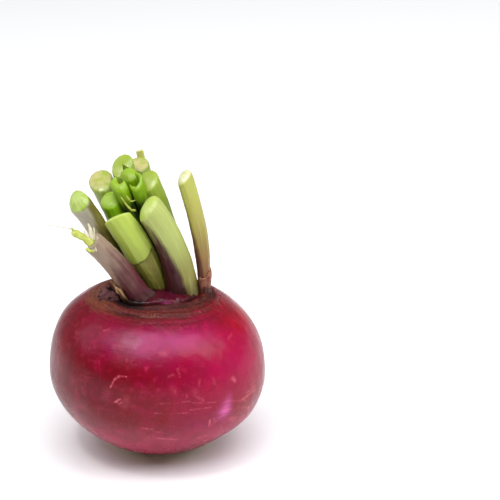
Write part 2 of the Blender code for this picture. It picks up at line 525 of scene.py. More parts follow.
@dataclass(frozen=True)
class Scuff:
    """A graze on the skin between two places, each an angle round the root and a height.

    Attributes:
        start: Angle in degrees and height over the widest level in millimetres.
        end: The same for its other end.
        width: Half its breadth, in millimetres.
        strength: How strongly it shows.
    """

    start: tuple[float, float]
    end: tuple[float, float]
    width: float = 0.3
    strength: float = 0.6


SCUFFS = (
    # The bent scratch at the left, and the nick below it.
    Scuff((-110.5, 7.2), (-108.7, 10.4), 0.40, 0.8),
    Scuff((-108.7, 10.4), (-106.4, 11.8), 0.50, 1.0),
    Scuff((-106.4, 11.8), (-102.8, 12.2), 0.40, 0.85),
    Scuff((-107.4, 1.9), (-104.8, 3.5), 0.45, 0.95),
    Scuff((-105.5, 1.2), (-103.8, 2.6), 0.35, 0.6),
    # Faint broad grazes beside them, and a long scratch at the far left.
    Scuff((-102.8, 1.6), (-101.9, 3.6), 2.2, 0.18),
    Scuff((-113.0, 2.8), (-112.4, 5.0), 2.2, 0.14),
    Scuff((-119.5, 15.5), (-116.5, 9.4), 0.35, 0.30),
    # Level scores across the front, dropping at the right.
    Scuff((-84.8, 3.4), (-70.0, 3.9), 0.32, 0.40),
    Scuff((-69.0, 3.2), (-55.8, 2.0), 0.32, 0.40),
    Scuff((-87.0, -0.6), (-71.0, -0.6), 0.32, 0.55),
    Scuff((-69.5, 0.5), (-58.0, 0.4), 0.30, 0.50),
    Scuff((-49.0, -2.2), (-31.0, -5.4), 0.35, 0.35),
    Scuff((-47.0, 1.0), (-34.0, -1.8), 0.35, 0.40),
    # Short level scores low on the front.
    Scuff((-84.8, -12.8), (-74.0, -13.6), 0.40, 1.0),
    Scuff((-92.5, -7.4), (-88.0, -7.8), 0.42, 0.7),
    Scuff((-87.2, -8.6), (-82.5, -9.4), 0.35, 0.40),
    # Small nicks scattered over the front.
    Scuff((-64.2, 11.4), (-64.7, 9.4), 0.60, 0.28),
    Scuff((-56.3, 11.0), (-55.7, 9.2), 0.8, 0.22),
    Scuff((-44.0, 9.2), (-42.8, 8.4), 1.0, 0.70),
    Scuff((-75.8, 15.8), (-75.0, 13.2), 0.55, 0.26),
    Scuff((-80.8, 13.2), (-78.4, 14.0), 0.60, 0.27),
    Scuff((-78.3, 8.8), (-77.7, 7.8), 1.4, 0.16),
    Scuff((-66.5, 5.5), (-62.5, 3.6), 0.50, 0.25),
    Scuff((-67.3, 7.6), (-66.6, 6.8), 1.5, 0.14),
    # Rising scratches at the right edge.
    Scuff((-38.2, -0.6), (-26.0, 0.7), 0.50, 0.80),
    Scuff((-34.0, 1.4), (-25.5, 2.0), 0.42, 0.60),
    # Nicks low on the right.
    Scuff((-57.8, -5.4), (-57.4, -8.6), 0.45, 1.0),
    Scuff((-55.8, -4.8), (-54.2, -6.8), 0.42, 0.50),
    Scuff((-61.0, -14.2), (-56.8, -13.4), 0.60, 0.60),
    Scuff((-30.0, -5.6), (-27.5, -8.4), 0.45, 0.80),
    Scuff((-44.0, -7.4), (-40.5, -8.6), 1.3, 0.45),
    # Grazes on the shoulders, and two out of sight behind.
    Scuff((-38.5, 22.0), (-32.5, 22.9), 0.45, 0.30),
    Scuff((-113.2, 21.1), (-108.8, 21.2), 1.2, 0.20),
    Scuff((-85.2, 20.5), (-83.4, 20.5), 1.2, 0.30),
    Scuff((-125.5, 24.2), (-122.5, 24.9), 0.40, 0.45),
    Scuff((171.0, 26.1), (168.0, 26.6), 1.5, 0.6),
    Scuff((-4.0, 31.8), (2.0, 31.6), 0.8, 0.8),
)


@dataclass(frozen=True)
class RootSkin:
    """Thin glossy crimson skin, rusty and creased round the crown, cream at the root's end."""

    crimson: Colour = tint(130, 3, 21)
    magenta: Colour = tint(156, 9, 100)
    rose: Colour = tint(172, 8, 73)
    scarlet: Colour = tint(158, 2, 24)
    wine_and_shade: Colour = tint(98, 3, 22)
    blush: Colour = tint(178, 44, 74)
    graze: Colour = tint(212, 94, 112)
    # Pink for painted highlights and reflections on the skin.
    pink_highlight: Colour = tint(214, 92, 160)
    rust: Colour = tint(84, 21, 18)
    tan: Colour = tint(130, 68, 48)
    olive: Colour = tint(104, 60, 38)
    maroon: Colour = tint(50, 8, 7)
    # Near-black for soil together with painted shade in the crown's creases and hollows.
    soil_and_shade: Colour = tint(20, 3, 2)
    violet: Colour = tint(70, 12, 30)
    cream: Colour = tint(216, 190, 158)
    flesh: Colour = tint(224, 206, 172)
    roughness: float = 0.27

    def body(self, paint: Painter) -> tuple[Socket, Socket]:
        """Colour of the swollen sides: crimson and magenta in broad clouds, streaks and specks.

        Args:
            paint: The painter of the skin.

        Returns:
            The colour, and the value of the streaks.
        """
        streaks = paint.grain(4.0, 5.0, 3.0)
        magenta = paint.ragged(paint.mask("magenta"), paint.noise(34.0, 3.0), 0.25)
        wine_and_shade = paint.math("ADD", paint.mask("wine_and_shade"), paint.range(streaks, 0.40, 0.80, 0.0, 0.35))
        lines = paint.range(paint.grain(3.0, 3.0, 42.0), 0.60, 0.72)
        lines = paint.math("MULTIPLY", lines, paint.clouds(48.0, 3.0, 0.5, 0.62), 0.30)
        flecks = paint.specks(260.0, 0.22, (1.0, 1.0, 0.55))
        colour = paint.coats(
            self.crimson,
            # Magenta: the skin's tone, laid along the highlight band as painted sheen too.
            (paint.range(magenta, 0.0, 1.0), self.magenta),
            # Rose: the skin's tone, with painted bounce light low down and painted light on the right flank.
            (paint.mask("rose"), self.rose),
            (paint.mask("scarlet"), self.scarlet),
            # Wine: the skin's darker tone, and painted shade where the masks put it.
            (wine_and_shade, self.wine_and_shade),
            (paint.clouds(420.0, 4.0, 0.50, 0.75, 0.26), self.blush),
            (paint.clouds(150.0, 3.0, 0.52, 0.72, 0.24), self.rose),
            (paint.clouds(190.0, 4.0, 0.55, 0.75, 0.35), self.wine_and_shade),
            (lines, self.blush),
            (paint.math("MULTIPLY", flecks, paint.clouds(40.0, 2.0, 0.50, 0.66, 0.6)), self.blush),
        )
        return colour, streaks

    def crown(self, paint: Painter, colour: Socket) -> Socket:
        """Colour of the crown over that of the body: rust, tan lines, maroon, and painted shade in its creases and
        hollows.

        Args:
            paint: The painter of the skin.
            colour: The colour of the body.

        Returns:
            The colour.
        """
        lines, bark = paint.grain(4.0, 5.0, 80.0), paint.noise(420.0, 5.0)
        rust = paint.ragged(paint.mask("rust"), lines, 0.22)
        ridge = paint.ragged(paint.mask("tan"), lines, 0.35)
        dark = paint.ragged(paint.mask("dark"), bark, 0.2)
        tan = paint.mix(paint.range(bark, 0.4, 0.66), self.tan, self.olive)
        return paint.coats(
            colour,
            (paint.range(rust, 0.15, 0.85), self.rust),
            (paint.range(ridge, 0.25, 0.95, 0.0, 0.85), tan),
            # Maroon: the ridge's own colour, and painted shade inside the first ring.
            (paint.range(dark, 0.15, 0.9, 0.0, 0.95), self.maroon),
            (paint.mask("violet"), self.violet),
            # Painted shade: the ring bottoms, the pit at the front left and a patch at the right, near-black.
            (paint.mask("crease_shade"), self.soil_and_shade),
            # A painted pink highlight along the lip of the first ring.
            (paint.mask("lip_highlight"), self.pink_highlight),
        )

    def grazes(self, paint: Painter, colour: Socket, root: "Root") -> Socket:
        """Scratches and grazes over a colour.

        Args:
            paint: The painter of the skin.
            colour: The colour below.
            root: The root, which knows where its skin is.

        Returns:
            The colour.
        """
        place = paint.worn(1.6 * MM, 0.8 * MM)
        whole: Socket | float = 0.0
        for scuff in SCUFFS:
            start, end = root.skin_point(*scuff.start), root.skin_point(*scuff.end)
            line = paint.math("MULTIPLY", paint.stroke(place, start, end, 1.5 * scuff.width * MM), scuff.strength)
            whole = paint.math("MAXIMUM", whole, line)
        rough = paint.range(paint.noise(1300.0, 4.0), 0.36, 0.58, 0.35, 1.0)
        return paint.mix(paint.math("MULTIPLY", whole, rough), colour, self.graze)

    def material(self, root: "Root") -> Material:
        """Build the finish; it reads the masks that Root.masks makes.

        Args:
            root: The root, which knows where its skin is.

        Returns:
            The material.
        """
        paint = Painter("root_skin")
        colour, streaks = self.body(paint)
        stripes = paint.range(paint.grain(3.0, 3.0, 46.0), 0.35, 0.6, 0.45, 1.0)
        under = paint.ragged(paint.mask("underside"), streaks, 0.16)
        colour = paint.coats(
            colour,
            # A painted pink reflection low on the right, in stripes.
            (paint.math("MULTIPLY", paint.mask("pink_highlight"), stripes), self.pink_highlight),
            (paint.range(under, 0.30, 0.85), self.cream),
        )
        colour = self.grazes(paint, self.crown(paint, colour), root)
        colour = paint.mix(paint.mask("scar"), colour, self.flesh)
        rough = paint.range(streaks, 0.3, 0.8, self.roughness - 0.04, self.roughness + 0.08)
        for mask, more in (("rust", 0.26), ("dark", 0.25)):
            rough = paint.math("ADD", rough, paint.math("MULTIPLY", paint.mask(mask), more))
        normal = paint.bump(streaks, 0.10 * MM)
        normal = paint.bump(paint.grain(4.0, 5.0, 80.0), 0.045 * MM, normal)
        normal = paint.bump(paint.noise(800.0, 3.0), 0.03 * MM, normal)
        return paint.finish(colour, rough, normal, Specular_IOR_Level=0.235)


@dataclass(frozen=True)
class StalkSkin:
    """A ribbed leaf stalk: one green at the top, another at the foot, and a flush of purple.

    Attributes:
        name: The material's name.
        top: The skin near the cut end.
        low: The skin near the foot.
        flush: What it flushes with.
        pale: The lines along its ribs.
        cut: The cut face.
        heart: Blotches on the cut face.
        dirt_and_shade: Soil and painted shade at the foot, in cracks and inside curls.
        roughness: Roughness of the skin.
        glow: How much light goes through it.
        gloss: Strength of its gleam, where 0.5 is plain.
        rise: Shares of the length between which low gives way to top.
    """

    name: str
    top: Colour = tint(172, 182, 98)
    low: Colour = tint(128, 116, 40)
    flush: Colour = tint(66, 16, 20)
    pale: Colour = tint(190, 198, 122)
    cut: Colour = tint(166, 184, 84)
    heart: Colour = tint(190, 202, 124)
    dirt_and_shade: Colour = tint(50, 22, 10)
    roughness: float = 0.42
    glow: float = 0.10
    gloss: float = 0.45
    rise: tuple[float, float] = (0.0, 0.75)

    def material(self) -> Material:
        """Build the finish; it reads the masks that LeafStalk.masks makes.

        Returns:
            The material.
        """
        paint = Painter(self.name)
        ribs = paint.grain(4.0, 4.0, 0.45)
        blotch = paint.noise(130.0, 3.0)
        flush = paint.ragged(paint.mask("flush"), ribs, 0.15, 0.25, 0.75)
        flush = paint.ragged(flush, blotch, 0.10)
        cut = paint.mix(paint.range(blotch, 0.35, 0.65), self.cut, self.heart)
        cut = paint.mix(paint.math("MULTIPLY", paint.mask("bundle"), 0.75), cut, self.top)
        colour = paint.coats(
            self.low,
            (paint.range(paint.mask("height"), *self.rise), self.top),
            (paint.range(ribs, 0.42, 0.75, 0.0, 0.6), self.pale),
            (paint.range(flush, 0.15, 0.95), self.flush),
            (paint.mask("cut"), cut),
            # Soil and painted shade at the foot, along the crack and inside curled leaves.
            (paint.math("MULTIPLY", paint.mask("dirt_and_shade"), paint.range(blotch, 0.2, 0.7, 0.6, 1.0)), self.dirt_and_shade),
        )
        rough = paint.range(blotch, 0.25, 0.75, self.roughness - 0.06, self.roughness + 0.1)
        for mask, more in (("cut", -0.25), ("dirt_and_shade", 0.35)):
            rough = paint.math("ADD", rough, paint.math("MULTIPLY", paint.mask(mask), more))
        skin = paint.math("SUBTRACT", 1.0, paint.mask("cut"))
        normal = paint.bump(paint.math("MULTIPLY", ribs, skin), 0.22 * MM)
        normal = paint.bump(paint.noise(900.0, 3.0), 0.02 * MM, normal)
        return paint.finish(
            colour, rough, normal,
            Subsurface_Weight=self.glow,
            Subsurface_Radius=(0.9, 1.0, 0.35),
            Subsurface_Scale=2.0 * MM,
            Specular_IOR_Level=self.gloss,
        )


@dataclass(frozen=True)
class DriedSkin:
    """Shrivelled, brittle leaf remains with lighter edges.

    Attributes:
        name: The material's name.
        dark: The darker blotches.
        grey: The lighter blotches.
        edge: Edges and raised folds.
        roughness: Its roughness.
        soil_and_shade: The colour of its soil and painted shade.
    """

    name: str
    dark: Colour = tint(62, 34, 40)
    grey: Colour = tint(126, 92, 100)
    edge: Colour = tint(176, 122, 86)
    roughness: float = 0.6
    soil_and_shade: Colour = tint(22, 5, 4)

    def material(self) -> Material:
        """Build the finish; the mask edge brings out the lighter colour.

        Returns:
            The material.
        """
        paint = Painter(self.name)
        grain = paint.grain(5.0, 4.0, 1.0)
        edge = paint.ragged(paint.mask("edge"), grain, 0.3, 0.25, 0.75)
        colour = paint.coats(
            self.dark,
            (paint.clouds(330.0, 3.0, 0.36, 0.64), self.grey),
            (paint.range(edge, 0.1, 0.9), self.edge),
            # Soil and painted shade.
            (paint.mask("dirt_and_shade"), self.soil_and_shade),
        )
        normal = paint.bump(grain, 0.3 * MM)
        rough = paint.range(grain, 0.3, 0.7, self.roughness - 0.1, self.roughness + 0.15)
        return paint.finish(colour, rough, normal, Specular_IOR_Level=0.25)


@dataclass(frozen=True)
class StudioWhite:
    """The smooth white of the studio floor, with a trace of cloudiness."""

    white: Colour = tint(252, 252, 252)
    off_white: Colour = tint(249, 249, 250)

    def material(self) -> Material:
        """Build the finish.

        Returns:
            The material.
        """
        paint = Painter("studio_white")
        colour = paint.mix(paint.noise(0.6, 1.0), self.white, self.off_white)
        return paint.finish(colour, paint.range(paint.noise(0.8, 1.0), 0.3, 0.7, 0.25, 0.27), None)


# ---- The root ----


@dataclass(frozen=True)
class Ring:
    """A groove round the crown.

    Attributes:
        radius: Where it runs.
        depth: How deep it is.
        width: Half its breadth.
        dark: How dark its bottom is painted, as shade in the groove.
        toward: The angle, in degrees, where it is strongest.
        spread: How far it keeps its strength to each side, in degrees.
    """

    radius: float
    depth: float
    width: float
    dark: float
    toward: float = 0.0
    spread: float = 400.0


@dataclass(frozen=True)
class Patch:
    """A soft patch round the root: its amount, times a bell of the angle, times a bell of a level.

    Attributes:
        amount: Its strength in the middle.
        toward: Its direction, in degrees.
        spread: How far it reaches to each side, in degrees.
        level: The height, or the distance from the axis, of its middle, in millimetres.
        breadth: How far it reaches from that level, in millimetres.
    """

    amount: float
    toward: float
    spread: float
    level: float
    breadth: float

    def __call__(self, angle: Array, level: Array) -> Array:
        """Its strength at angles and levels."""
        return self.amount * sector(angle, self.toward, self.spread) * bell(level, self.level, self.breadth)


@dataclass
class Root:
    """The swollen root: two superellipse halves turned about a leaning axis.

    Attributes:
        upper_height: From the widest level to the crown, in millimetres like its other sizes.
        lower_height: From the widest level to the root's end.
        upper_power: How square the upper half is; 2 is an ellipse.
        lower_power: The same for the lower half.
        lean: How far the axis leans, in radians.
        centre_height: Height of the middle of the widest level over the floor.
        columns: Points round it.
        finish: Its skin.
        rings: Leaf scars round the crown.
        swellings: Where the sides bulge.
        crown_bulge: Where the crown bulges within the first ring.
        crown_lobe: Where it bulges outside the rings.
        crown_pit: A hollow between two rings.
        pleated: Where the crown's skin is finely pleated.
        lip_highlight: A painted pink highlight on the lip of the first ring.
        magenta: The magenta of the shoulders, laid along the highlight band: partly the skin's tone, partly
            painted sheen.
        wine_and_shade: A darker cloud below them, which is painted shade.
        lit_flank: Rose on the right flank, which is painted light from that side.
        radius: Half the width, taken from the CAD node.
        centre: The middle of the widest level, in metres, taken from the CAD node.
    """

    upper_height: float = 33.7
    lower_height: float = 34.0
    upper_power: float = 2.34
    lower_power: float = 1.87
    lean: float = math.radians(4.0)
    centre_height: float = 32.7
    columns: int = 400
    finish: RootSkin = RootSkin()
    rings: tuple[Ring, ...] = (
        Ring(15.6, 2.3, 0.85, 1.0, -110.0, 80.0),
        Ring(15.9, 0.5, 0.7, 0.9, 20.0, 90.0),
        Ring(17.4, 0.45, 0.35, 0.65, -70.0, 45.0),
        Ring(18.6, 0.30, 0.30, 0.5, 150.0, 80.0),
        Ring(19.3, 0.55, 0.42, 0.8, -38.0, 42.0),
        Ring(20.9, 0.60, 0.50, 0.7, 100.0, 80.0),
        Ring(21.3, 0.30, 0.35, 0.5, -20.0, 40.0),
        Ring(23.7, 0.85, 0.55, 0.95, -121.0, 16.0),
        Ring(22.8, 0.16, 0.30, 0.35),
        Ring(24.6, 0.10, 0.30, 0.35),
        Ring(26.3, 0.04, 0.35, 0.40, -80.0, 80.0),
        Ring(27.6, 0.02, 0.35, 0.30, -80.0, 60.0),
    )
    swellings: tuple[Patch, ...] = (Patch(1.1, 180.0, 60.0, 20.0, 11.0), Patch(1.3, -10.0, 60.0, -8.0, 17.0))
    crown_bulge: Patch = Patch(0.5, -88.0, 20.0, 12.6, 1.6)
    crown_lobe: Patch = Patch(0.5, -24.0, 13.0, 22.4, 2.0)
    crown_pit: Patch = Patch(1.4, -134.0, 15.0, 17.4, 1.7)
    pleated: Patch = Patch(1.0, -94.0, 8.0, 22.9, 1.8)
    lip_highlight: Patch = Patch(0.35, -77.0, 6.0, 14.8, 0.25)
    magenta: Patch = Patch(0.88, -64.0, 46.0, 56.5, 4.8)
    wine_and_shade: Patch = Patch(1.0, -108.0, 32.0, 38.0, 11.0)
    lit_flank: Patch = Patch(0.8, -40.0, 40.0, 44.0, 13.0)
    radius: float = field(init=False)
    centre: Array = field(init=False)

    def __post_init__(self) -> None:
        """Take the width and place of the root from its CAD node."""
        low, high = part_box("root")
        self.radius = (high[1] - low[1]) / 2.0 / MM
        self.centre = np.array([(low[0] + high[0]) / 2.0, (low[1] + high[1]) / 2.0, self.centre_height * MM])

    def place(self, points: Array) -> Array:
        """Lean points in millimetres about the Y axis and move them to the root's centre.

        Args:
            points: Points about the root's centre.

        Returns:
            Their places in the scene, in metres.
        """
        cos, sin = math.cos(self.lean), math.sin(self.lean)
        turn = np.array([[cos, 0.0, sin], [0.0, 1.0, 0.0], [-sin, 0.0, cos]])
        return points @ turn.T * MM + self.centre

    def skin_point(self, angle_deg: float, height: float) -> Vec3:
        """The place on the skin at an angle and at a height over the widest level.

        Args:
            angle_deg: The angle round the axis, in degrees.
            height: The height, in millimetres.

        Returns:
            The place in the scene, in metres.
        """
        upper, lower = (self.upper_height, self.upper_power), (self.lower_height, self.lower_power)
        top, power = upper if height > 0 else lower
        reach = self.radius * (1.0 - (abs(height) / top) ** power) ** (1.0 / power)
        angle = math.radians(angle_deg)
        reach += float(self.swell(np.array(angle), np.array(height)))
        spot = self.place(np.array([reach * math.cos(angle), reach * math.sin(angle), height]))
        return tuple(map(float, spot))

    def swell(self, angle: Array, height: Array) -> Array:
        """How far the body bulges at its upper left and at its lower right, in millimetres."""
        return sum(swelling(angle, height) for swelling in self.swellings)

    def outline(self) -> tuple[Array, Array]:
        """Distance from the axis and height over the widest level, from the crown to the root's end.

        Over the crown the distance grows evenly and the height is h (1 - (r / R)^p)^(1 / p).
        Below it, distance and height are R cos^(2/p) and h sin^(2/p) of an evenly spaced angle.

        Returns:
            The distances and the heights, in millimetres.
        """
        crown = np.concatenate([np.linspace(0.8, 12.0, 12), np.linspace(12.2, 30.0, 88)])
        power = self.upper_power
        crown_height = self.upper_height * (1.0 - (crown / self.radius) ** power) ** (1.0 / power)
        side = np.linspace(math.acos((crown[-1] / self.radius) ** (power / 2.0)), 0.0, 56)[1:]
        under = np.linspace(0.0, math.pi / 2.0, 88)[1:-1]
        radius = [crown, self.radius * np.cos(side) ** (2.0 / power)]
        height = [crown_height, self.upper_height * np.sin(side) ** (2.0 / power)]
        radius.append(self.radius * np.cos(under) ** (2.0 / self.lower_power))
        height.append(-self.lower_height * np.sin(under) ** (2.0 / self.lower_power))
        return np.concatenate(radius), np.concatenate(height)

    def ring_radius(self, radius: Array, angle: Array) -> Array:
        """Distance from the axis with the bends of the rings taken out.

        The inner rings bend outward round the foot of the torn stalk, and the outer ones lie
        farther out at the left.

        Args:
            radius: Distances from the axis, in millimetres.
            angle: Angles round the axis.

        Returns:
            The straightened distances.
        """
        pushed = 3.4 * sector(angle, -128.0, 26.0) * smooth(25.0, 17.0, radius)
        wide = 2.4 * sector(angle, -165.0, 48.0) * smooth(20.0, 27.0, radius)
        return radius - pushed - wide

    def grooves(self, radius: Array, angle: Array) -> tuple[Array, Array]:
        """Depth and painted shade of all rings: bells about lines that wander round the crown.

        Args:
            radius: Distances from the axis, in millimetres.
            angle: Angles round the axis.

        Returns:
            The depth in millimetres, and the painted shade at their bottoms, of 0 to 1.
        """
        depth, dark = np.zeros_like(radius), np.zeros_like(radius)
        for ring in self.rings:
            phase = 2.3 * ring.radius
            wander = 0.40 * np.sin(2 * angle + phase) + 0.30 * np.sin(3 * angle + 2 * phase)
            wander += 0.14 * np.sin(9 * angle + phase) + 0.09 * np.sin(17 * angle + 3 * phase)
            gap = radius - ring.radius - wander
            share = 0.12 + 0.88 * sector(angle, ring.toward, ring.spread)
            share = share * (0.85 + 0.25 * np.sin(5 * angle + phase))
            depth += ring.depth * share * bell(gap, 0.0, ring.width)
            dark = np.maximum(dark, ring.dark * np.clip(share, 0, 1) * bell(gap, 0.0, ring.width * 0.8))
        return depth, dark

    def relief(self, grid: Array, radius: Array, angle: Array) -> Array:
        """How far the upper half stands out from the plain body, in millimetres.

        Inside the first ring a ragged collar of grown-in leaf bases stands up. Between the rings
        lie rolls, and outside them fine wrinkles.

        Args:
            grid: The plain surface.
            radius: Distances from the axis, in millimetres.
            angle: Angles round the axis.

        Returns:
            The stand-out of each point.
        """
        ragged = Wobble(21, 4 * MM)(grid)
        fine = Wobble(22, 1.6 * MM)(grid)
        low = 1.0 - 0.85 * sector(angle, -120.0, 28.0)
        collar = low * smooth(15.2, 14.2, radius + 0.25 * ragged) * (0.25 + 0.30 * ragged + 0.08 * fine)
        rolls = 0.55 * bell(radius, 17.9, 1.5) * (1.0 + 0.5 * np.sin(4 * angle + 0.6))
        rolls += 0.25 * bell(radius, 22.0, 1.0)
        crown = smooth(30.0, 27.0, radius)
        wrinkles = 0.045 * np.sin(2 * math.pi * radius / 0.85 + 2.2 * ragged) * smooth(15.5, 17.0, radius)
        wrinkles = wrinkles * smooth(26.0, 23.0, radius)
        pleats = 0.07 * np.sin(70 * angle + 3 * ragged) * bell(radius, 22.2, 1.4) * smooth(-0.2, 0.5, fine)
        pleats = pleats * (0.2 + 0.8 * sector(angle, -94.0, 24.0))
        pores = (0.10 - 0.06 * smooth(22.5, 25.0, radius)) * fine
        lobe = self.crown_lobe(angle, radius) - self.crown_pit(angle, radius)
        stand_out = collar + rolls + crown * (wrinkles + pleats + pores) + self.crown_bulge(angle, radius)
        return stand_out + lobe - self.grooves(radius, angle)[0]

    def pink_reflection_spot(self, grid: Array) -> Array:
        """A painted pink reflection low on the right: a bell along its upright line and one across it.

        Its breadth narrows upward, so it is a drop rather than an oval.

        Args:
            grid: Points on the surface.

        Returns:
            Its strength at each point.
        """
        middle = np.array(self.skin_point(-49.0, -1.8))
        along = unit(np.array(self.skin_point(-47.0, 2.6)) - middle)
        apart = (grid - middle) / MM
        reach = dot(apart, along)
        aside = np.sqrt(np.maximum(dot(apart, apart) - reach**2, 0.0))
        spot = bell(reach, 0.0, 4.0) * bell(aside / (2.5 - 0.14 * reach), 0.0, 1.0)
        return np.clip(1.15 * spot, 0.0, 1.0)

    def crown_masks(self, ring: Array, angle: Array, patch: Array) -> Masks:
        """Where the crown is rusty, tan, dark, violet, painted with shade in its creases and hollows, or painted
        with a pink highlight on its lip.

        Args:
            ring: Distance of each point from the axis, with the bends of the rings taken out.
            angle: Its angle round the axis.
            patch: Unevenness of about -1 to 1.

        Returns:
            Masks of 0 to 1 by name.
        """
        left, right = sector(angle, 188.0, 45.0), sector(angle, -30.0, 48.0)
        inside = smooth(16.4, 14.8, ring)
        band = smooth(20.0, 21.5, ring) * smooth(29.2, 24.0, ring + 0.8 * patch)
        ridge = smooth(15.8, 16.8, ring) * smooth(21.0, 19.5, ring)
        pleats = self.pleated(angle, ring) * (0.5 + 0.5 * np.sin(105 * angle))
        tan = band * (0.05 + 0.90 * left + 0.15 * right)
        tan = tan + ridge * (0.05 + 0.25 * left + 0.45 * right) + 0.7 * pleats
        # Inside the first ring the maroon is painted shade under the stalks; on the ridge it is the skin's own
        # maroon.
        dark = inside * 0.9 + ridge * (0.65 + 0.25 * patch - 0.25 * right)
        violet = smooth(58.0, 22.0, np.abs(turned_from(angle, -88.0))) * smooth(15.3, 14.3, ring)
        # Painted shade in the deep hollow at the front left.
        pit = 0.95 * smooth(37.0, 21.0, np.abs(turned_from(angle, -135.0)))
        pit = pit * smooth(22.0, 19.0, ring + 0.5 * patch)
        shade = 0.6 * sector(angle, 0.0, 26.0) * smooth(17.4, 18.4, ring) * smooth(22.5, 20.5, ring)
        outer = 30.0 - 3.6 * sector(angle, -8.0, 52.0)
        return {
            "rust": 0.95 * smooth(15.8, 16.8, ring) * smooth(outer, outer - 8.5, ring + 0.8 * patch),
            "tan": np.clip(tan, 0, 1),
            "dark": np.clip(dark, 0, 1) * (1.0 - 0.8 * violet),
            "violet": np.clip(violet * (1.0 + 0.2 * patch), 0, 1),
            "lip_highlight": self.lip_highlight(angle, ring),
            "crease_shade": np.maximum(np.maximum(self.grooves(ring, angle)[1], pit), shade),
        }

    def masks(self, grid: Array, radius: Array, ring: Array, angle: Array, up: Array) -> Masks:
        """The crown's masks on the upper half, and where the rest is magenta, rose, cream or cut.

        Args:
            grid: The surface.
            radius: Distance of each point from the axis, in millimetres.
            ring: The same with the bends of the rings taken out.
            angle: Its angle round the axis.
            up: 1 on the upper half, 0 on the lower.

        Returns:
            Masks of 0 to 1 by name, and the grain.
        """
        patch = Wobble(8, 8 * MM)(grid)
        height = grid[..., 2] / MM
        rough_height = height + 2 * patch
        wine_and_shade = self.wine_and_shade(angle, rough_height)
        # Painted shade: a darker left side, and a darker bottom towards the floor.
        shaded_left_side = 0.75 * sector(angle, 200.0, 58.0) * smooth(8.0, 26.0, rough_height)
        round_crown = up * 0.6 * smooth(34.0, 26.5, ring + patch)
        at_foot = 0.60 * smooth(19.0, 5.0, height + patch)
        arc = np.cumsum(np.linalg.norm(np.diff(grid, axis=0, prepend=grid[:1]), axis=-1), axis=0)
        return {name: up * mask for name, mask in self.crown_masks(ring, angle, patch).items()} | {
            # Magenta along the highlight band: partly the skin's own tone, partly painted sheen that tints the
            # highlight.
            "magenta": 0.10 + self.magenta(angle, height) - 0.30 * wine_and_shade,
            # Rose over the lower half, partly the skin's tone and partly painted bounce light from the floor; on
            # the right flank, painted light from the right.
            "rose": np.maximum(0.9 * smooth(31.0, 10.0, rough_height), self.lit_flank(angle, rough_height)),
            "scarlet": 0.95 * sector(angle, -14.0, 42.0) * smooth(47.0, 57.0, rough_height),
            # The skin's darker tone round the crown, with painted shade on the left, near the floor and below the
            # shoulders.
            "wine_and_shade": np.maximum(shaded_left_side, round_crown) + at_foot + 0.40 * wine_and_shade,
            "pink_highlight": self.pink_reflection_spot(grid),
            "underside": (1 - up) * smooth(8.0, 1.0, height),
            "scar": (1 - up) * smooth(11.8, 11.2, radius) * smooth(0.9, 0.4, height),
            "grain": np.stack([np.cos(angle), np.sin(angle), arc / (self.radius * MM)], -1),
        }

    def build(self) -> Piece:
        """Make the root's surface, cut flat where it stands.

        Returns:
            The piece.
        """
        radius, height = self.outline()
        turn = np.arange(self.columns) * 2 * math.pi / self.columns
        rad, angle = np.meshgrid(radius, turn, indexing="ij")
        high = np.repeat(height[:, None], self.columns, 1)
        plain = self.place(np.stack([rad * np.cos(angle), rad * np.sin(angle), high], -1))
        up = (high > 0).astype(float)
        out = 0.42 * Wobble(3, 60 * MM)(plain) + 0.15 * Wobble(4, 20 * MM)(plain)
        out = out + 0.04 * Wobble(5, 6 * MM)(plain) + self.swell(angle, high)
        ring = self.ring_radius(rad, angle)
        out = out + up * smooth(34.0, 29.0, rad) * self.relief(plain, ring, angle)
        grid = plain + normals_of(plain) * (MM * out)[..., None]
        masks = self.masks(grid, rad, ring, angle, up)
        hollow = 0.15 * MM * np.maximum(1.0 + Wobble(12, 3 * MM)(grid), 0.0) * (1 - up) * smooth(10.5, 9.0, rad)
        grid[..., 2] = np.maximum(grid[..., 2], hollow)
        piece = make_piece("turnip_root", [Surface(grid, masks)], self.finish.material(self))
        return attach(piece, "root_skin", "root")


# ---- Leaf stalks ----


@dataclass(frozen=True)
class Flush:
    """Where a stalk flushes with another colour.

    Attributes:
        side: The side that it covers.
        at_foot: How far towards that side its edge lies at the foot, from -1 to 1.
        at_tip: The same at the cut end.
        foot: Share of the length, from the foot, that flushes all round.
        amount: Its strength at the foot.
        tip_amount: Its strength at the cut end.
    """

    side: Vec3 = (-1.0, 0.0, 0.0)
    at_foot: float = 0.0
    at_tip: float = 1.2
    foot: float = 0.15
    amount: float = 1.0
    tip_amount: float = 0.4


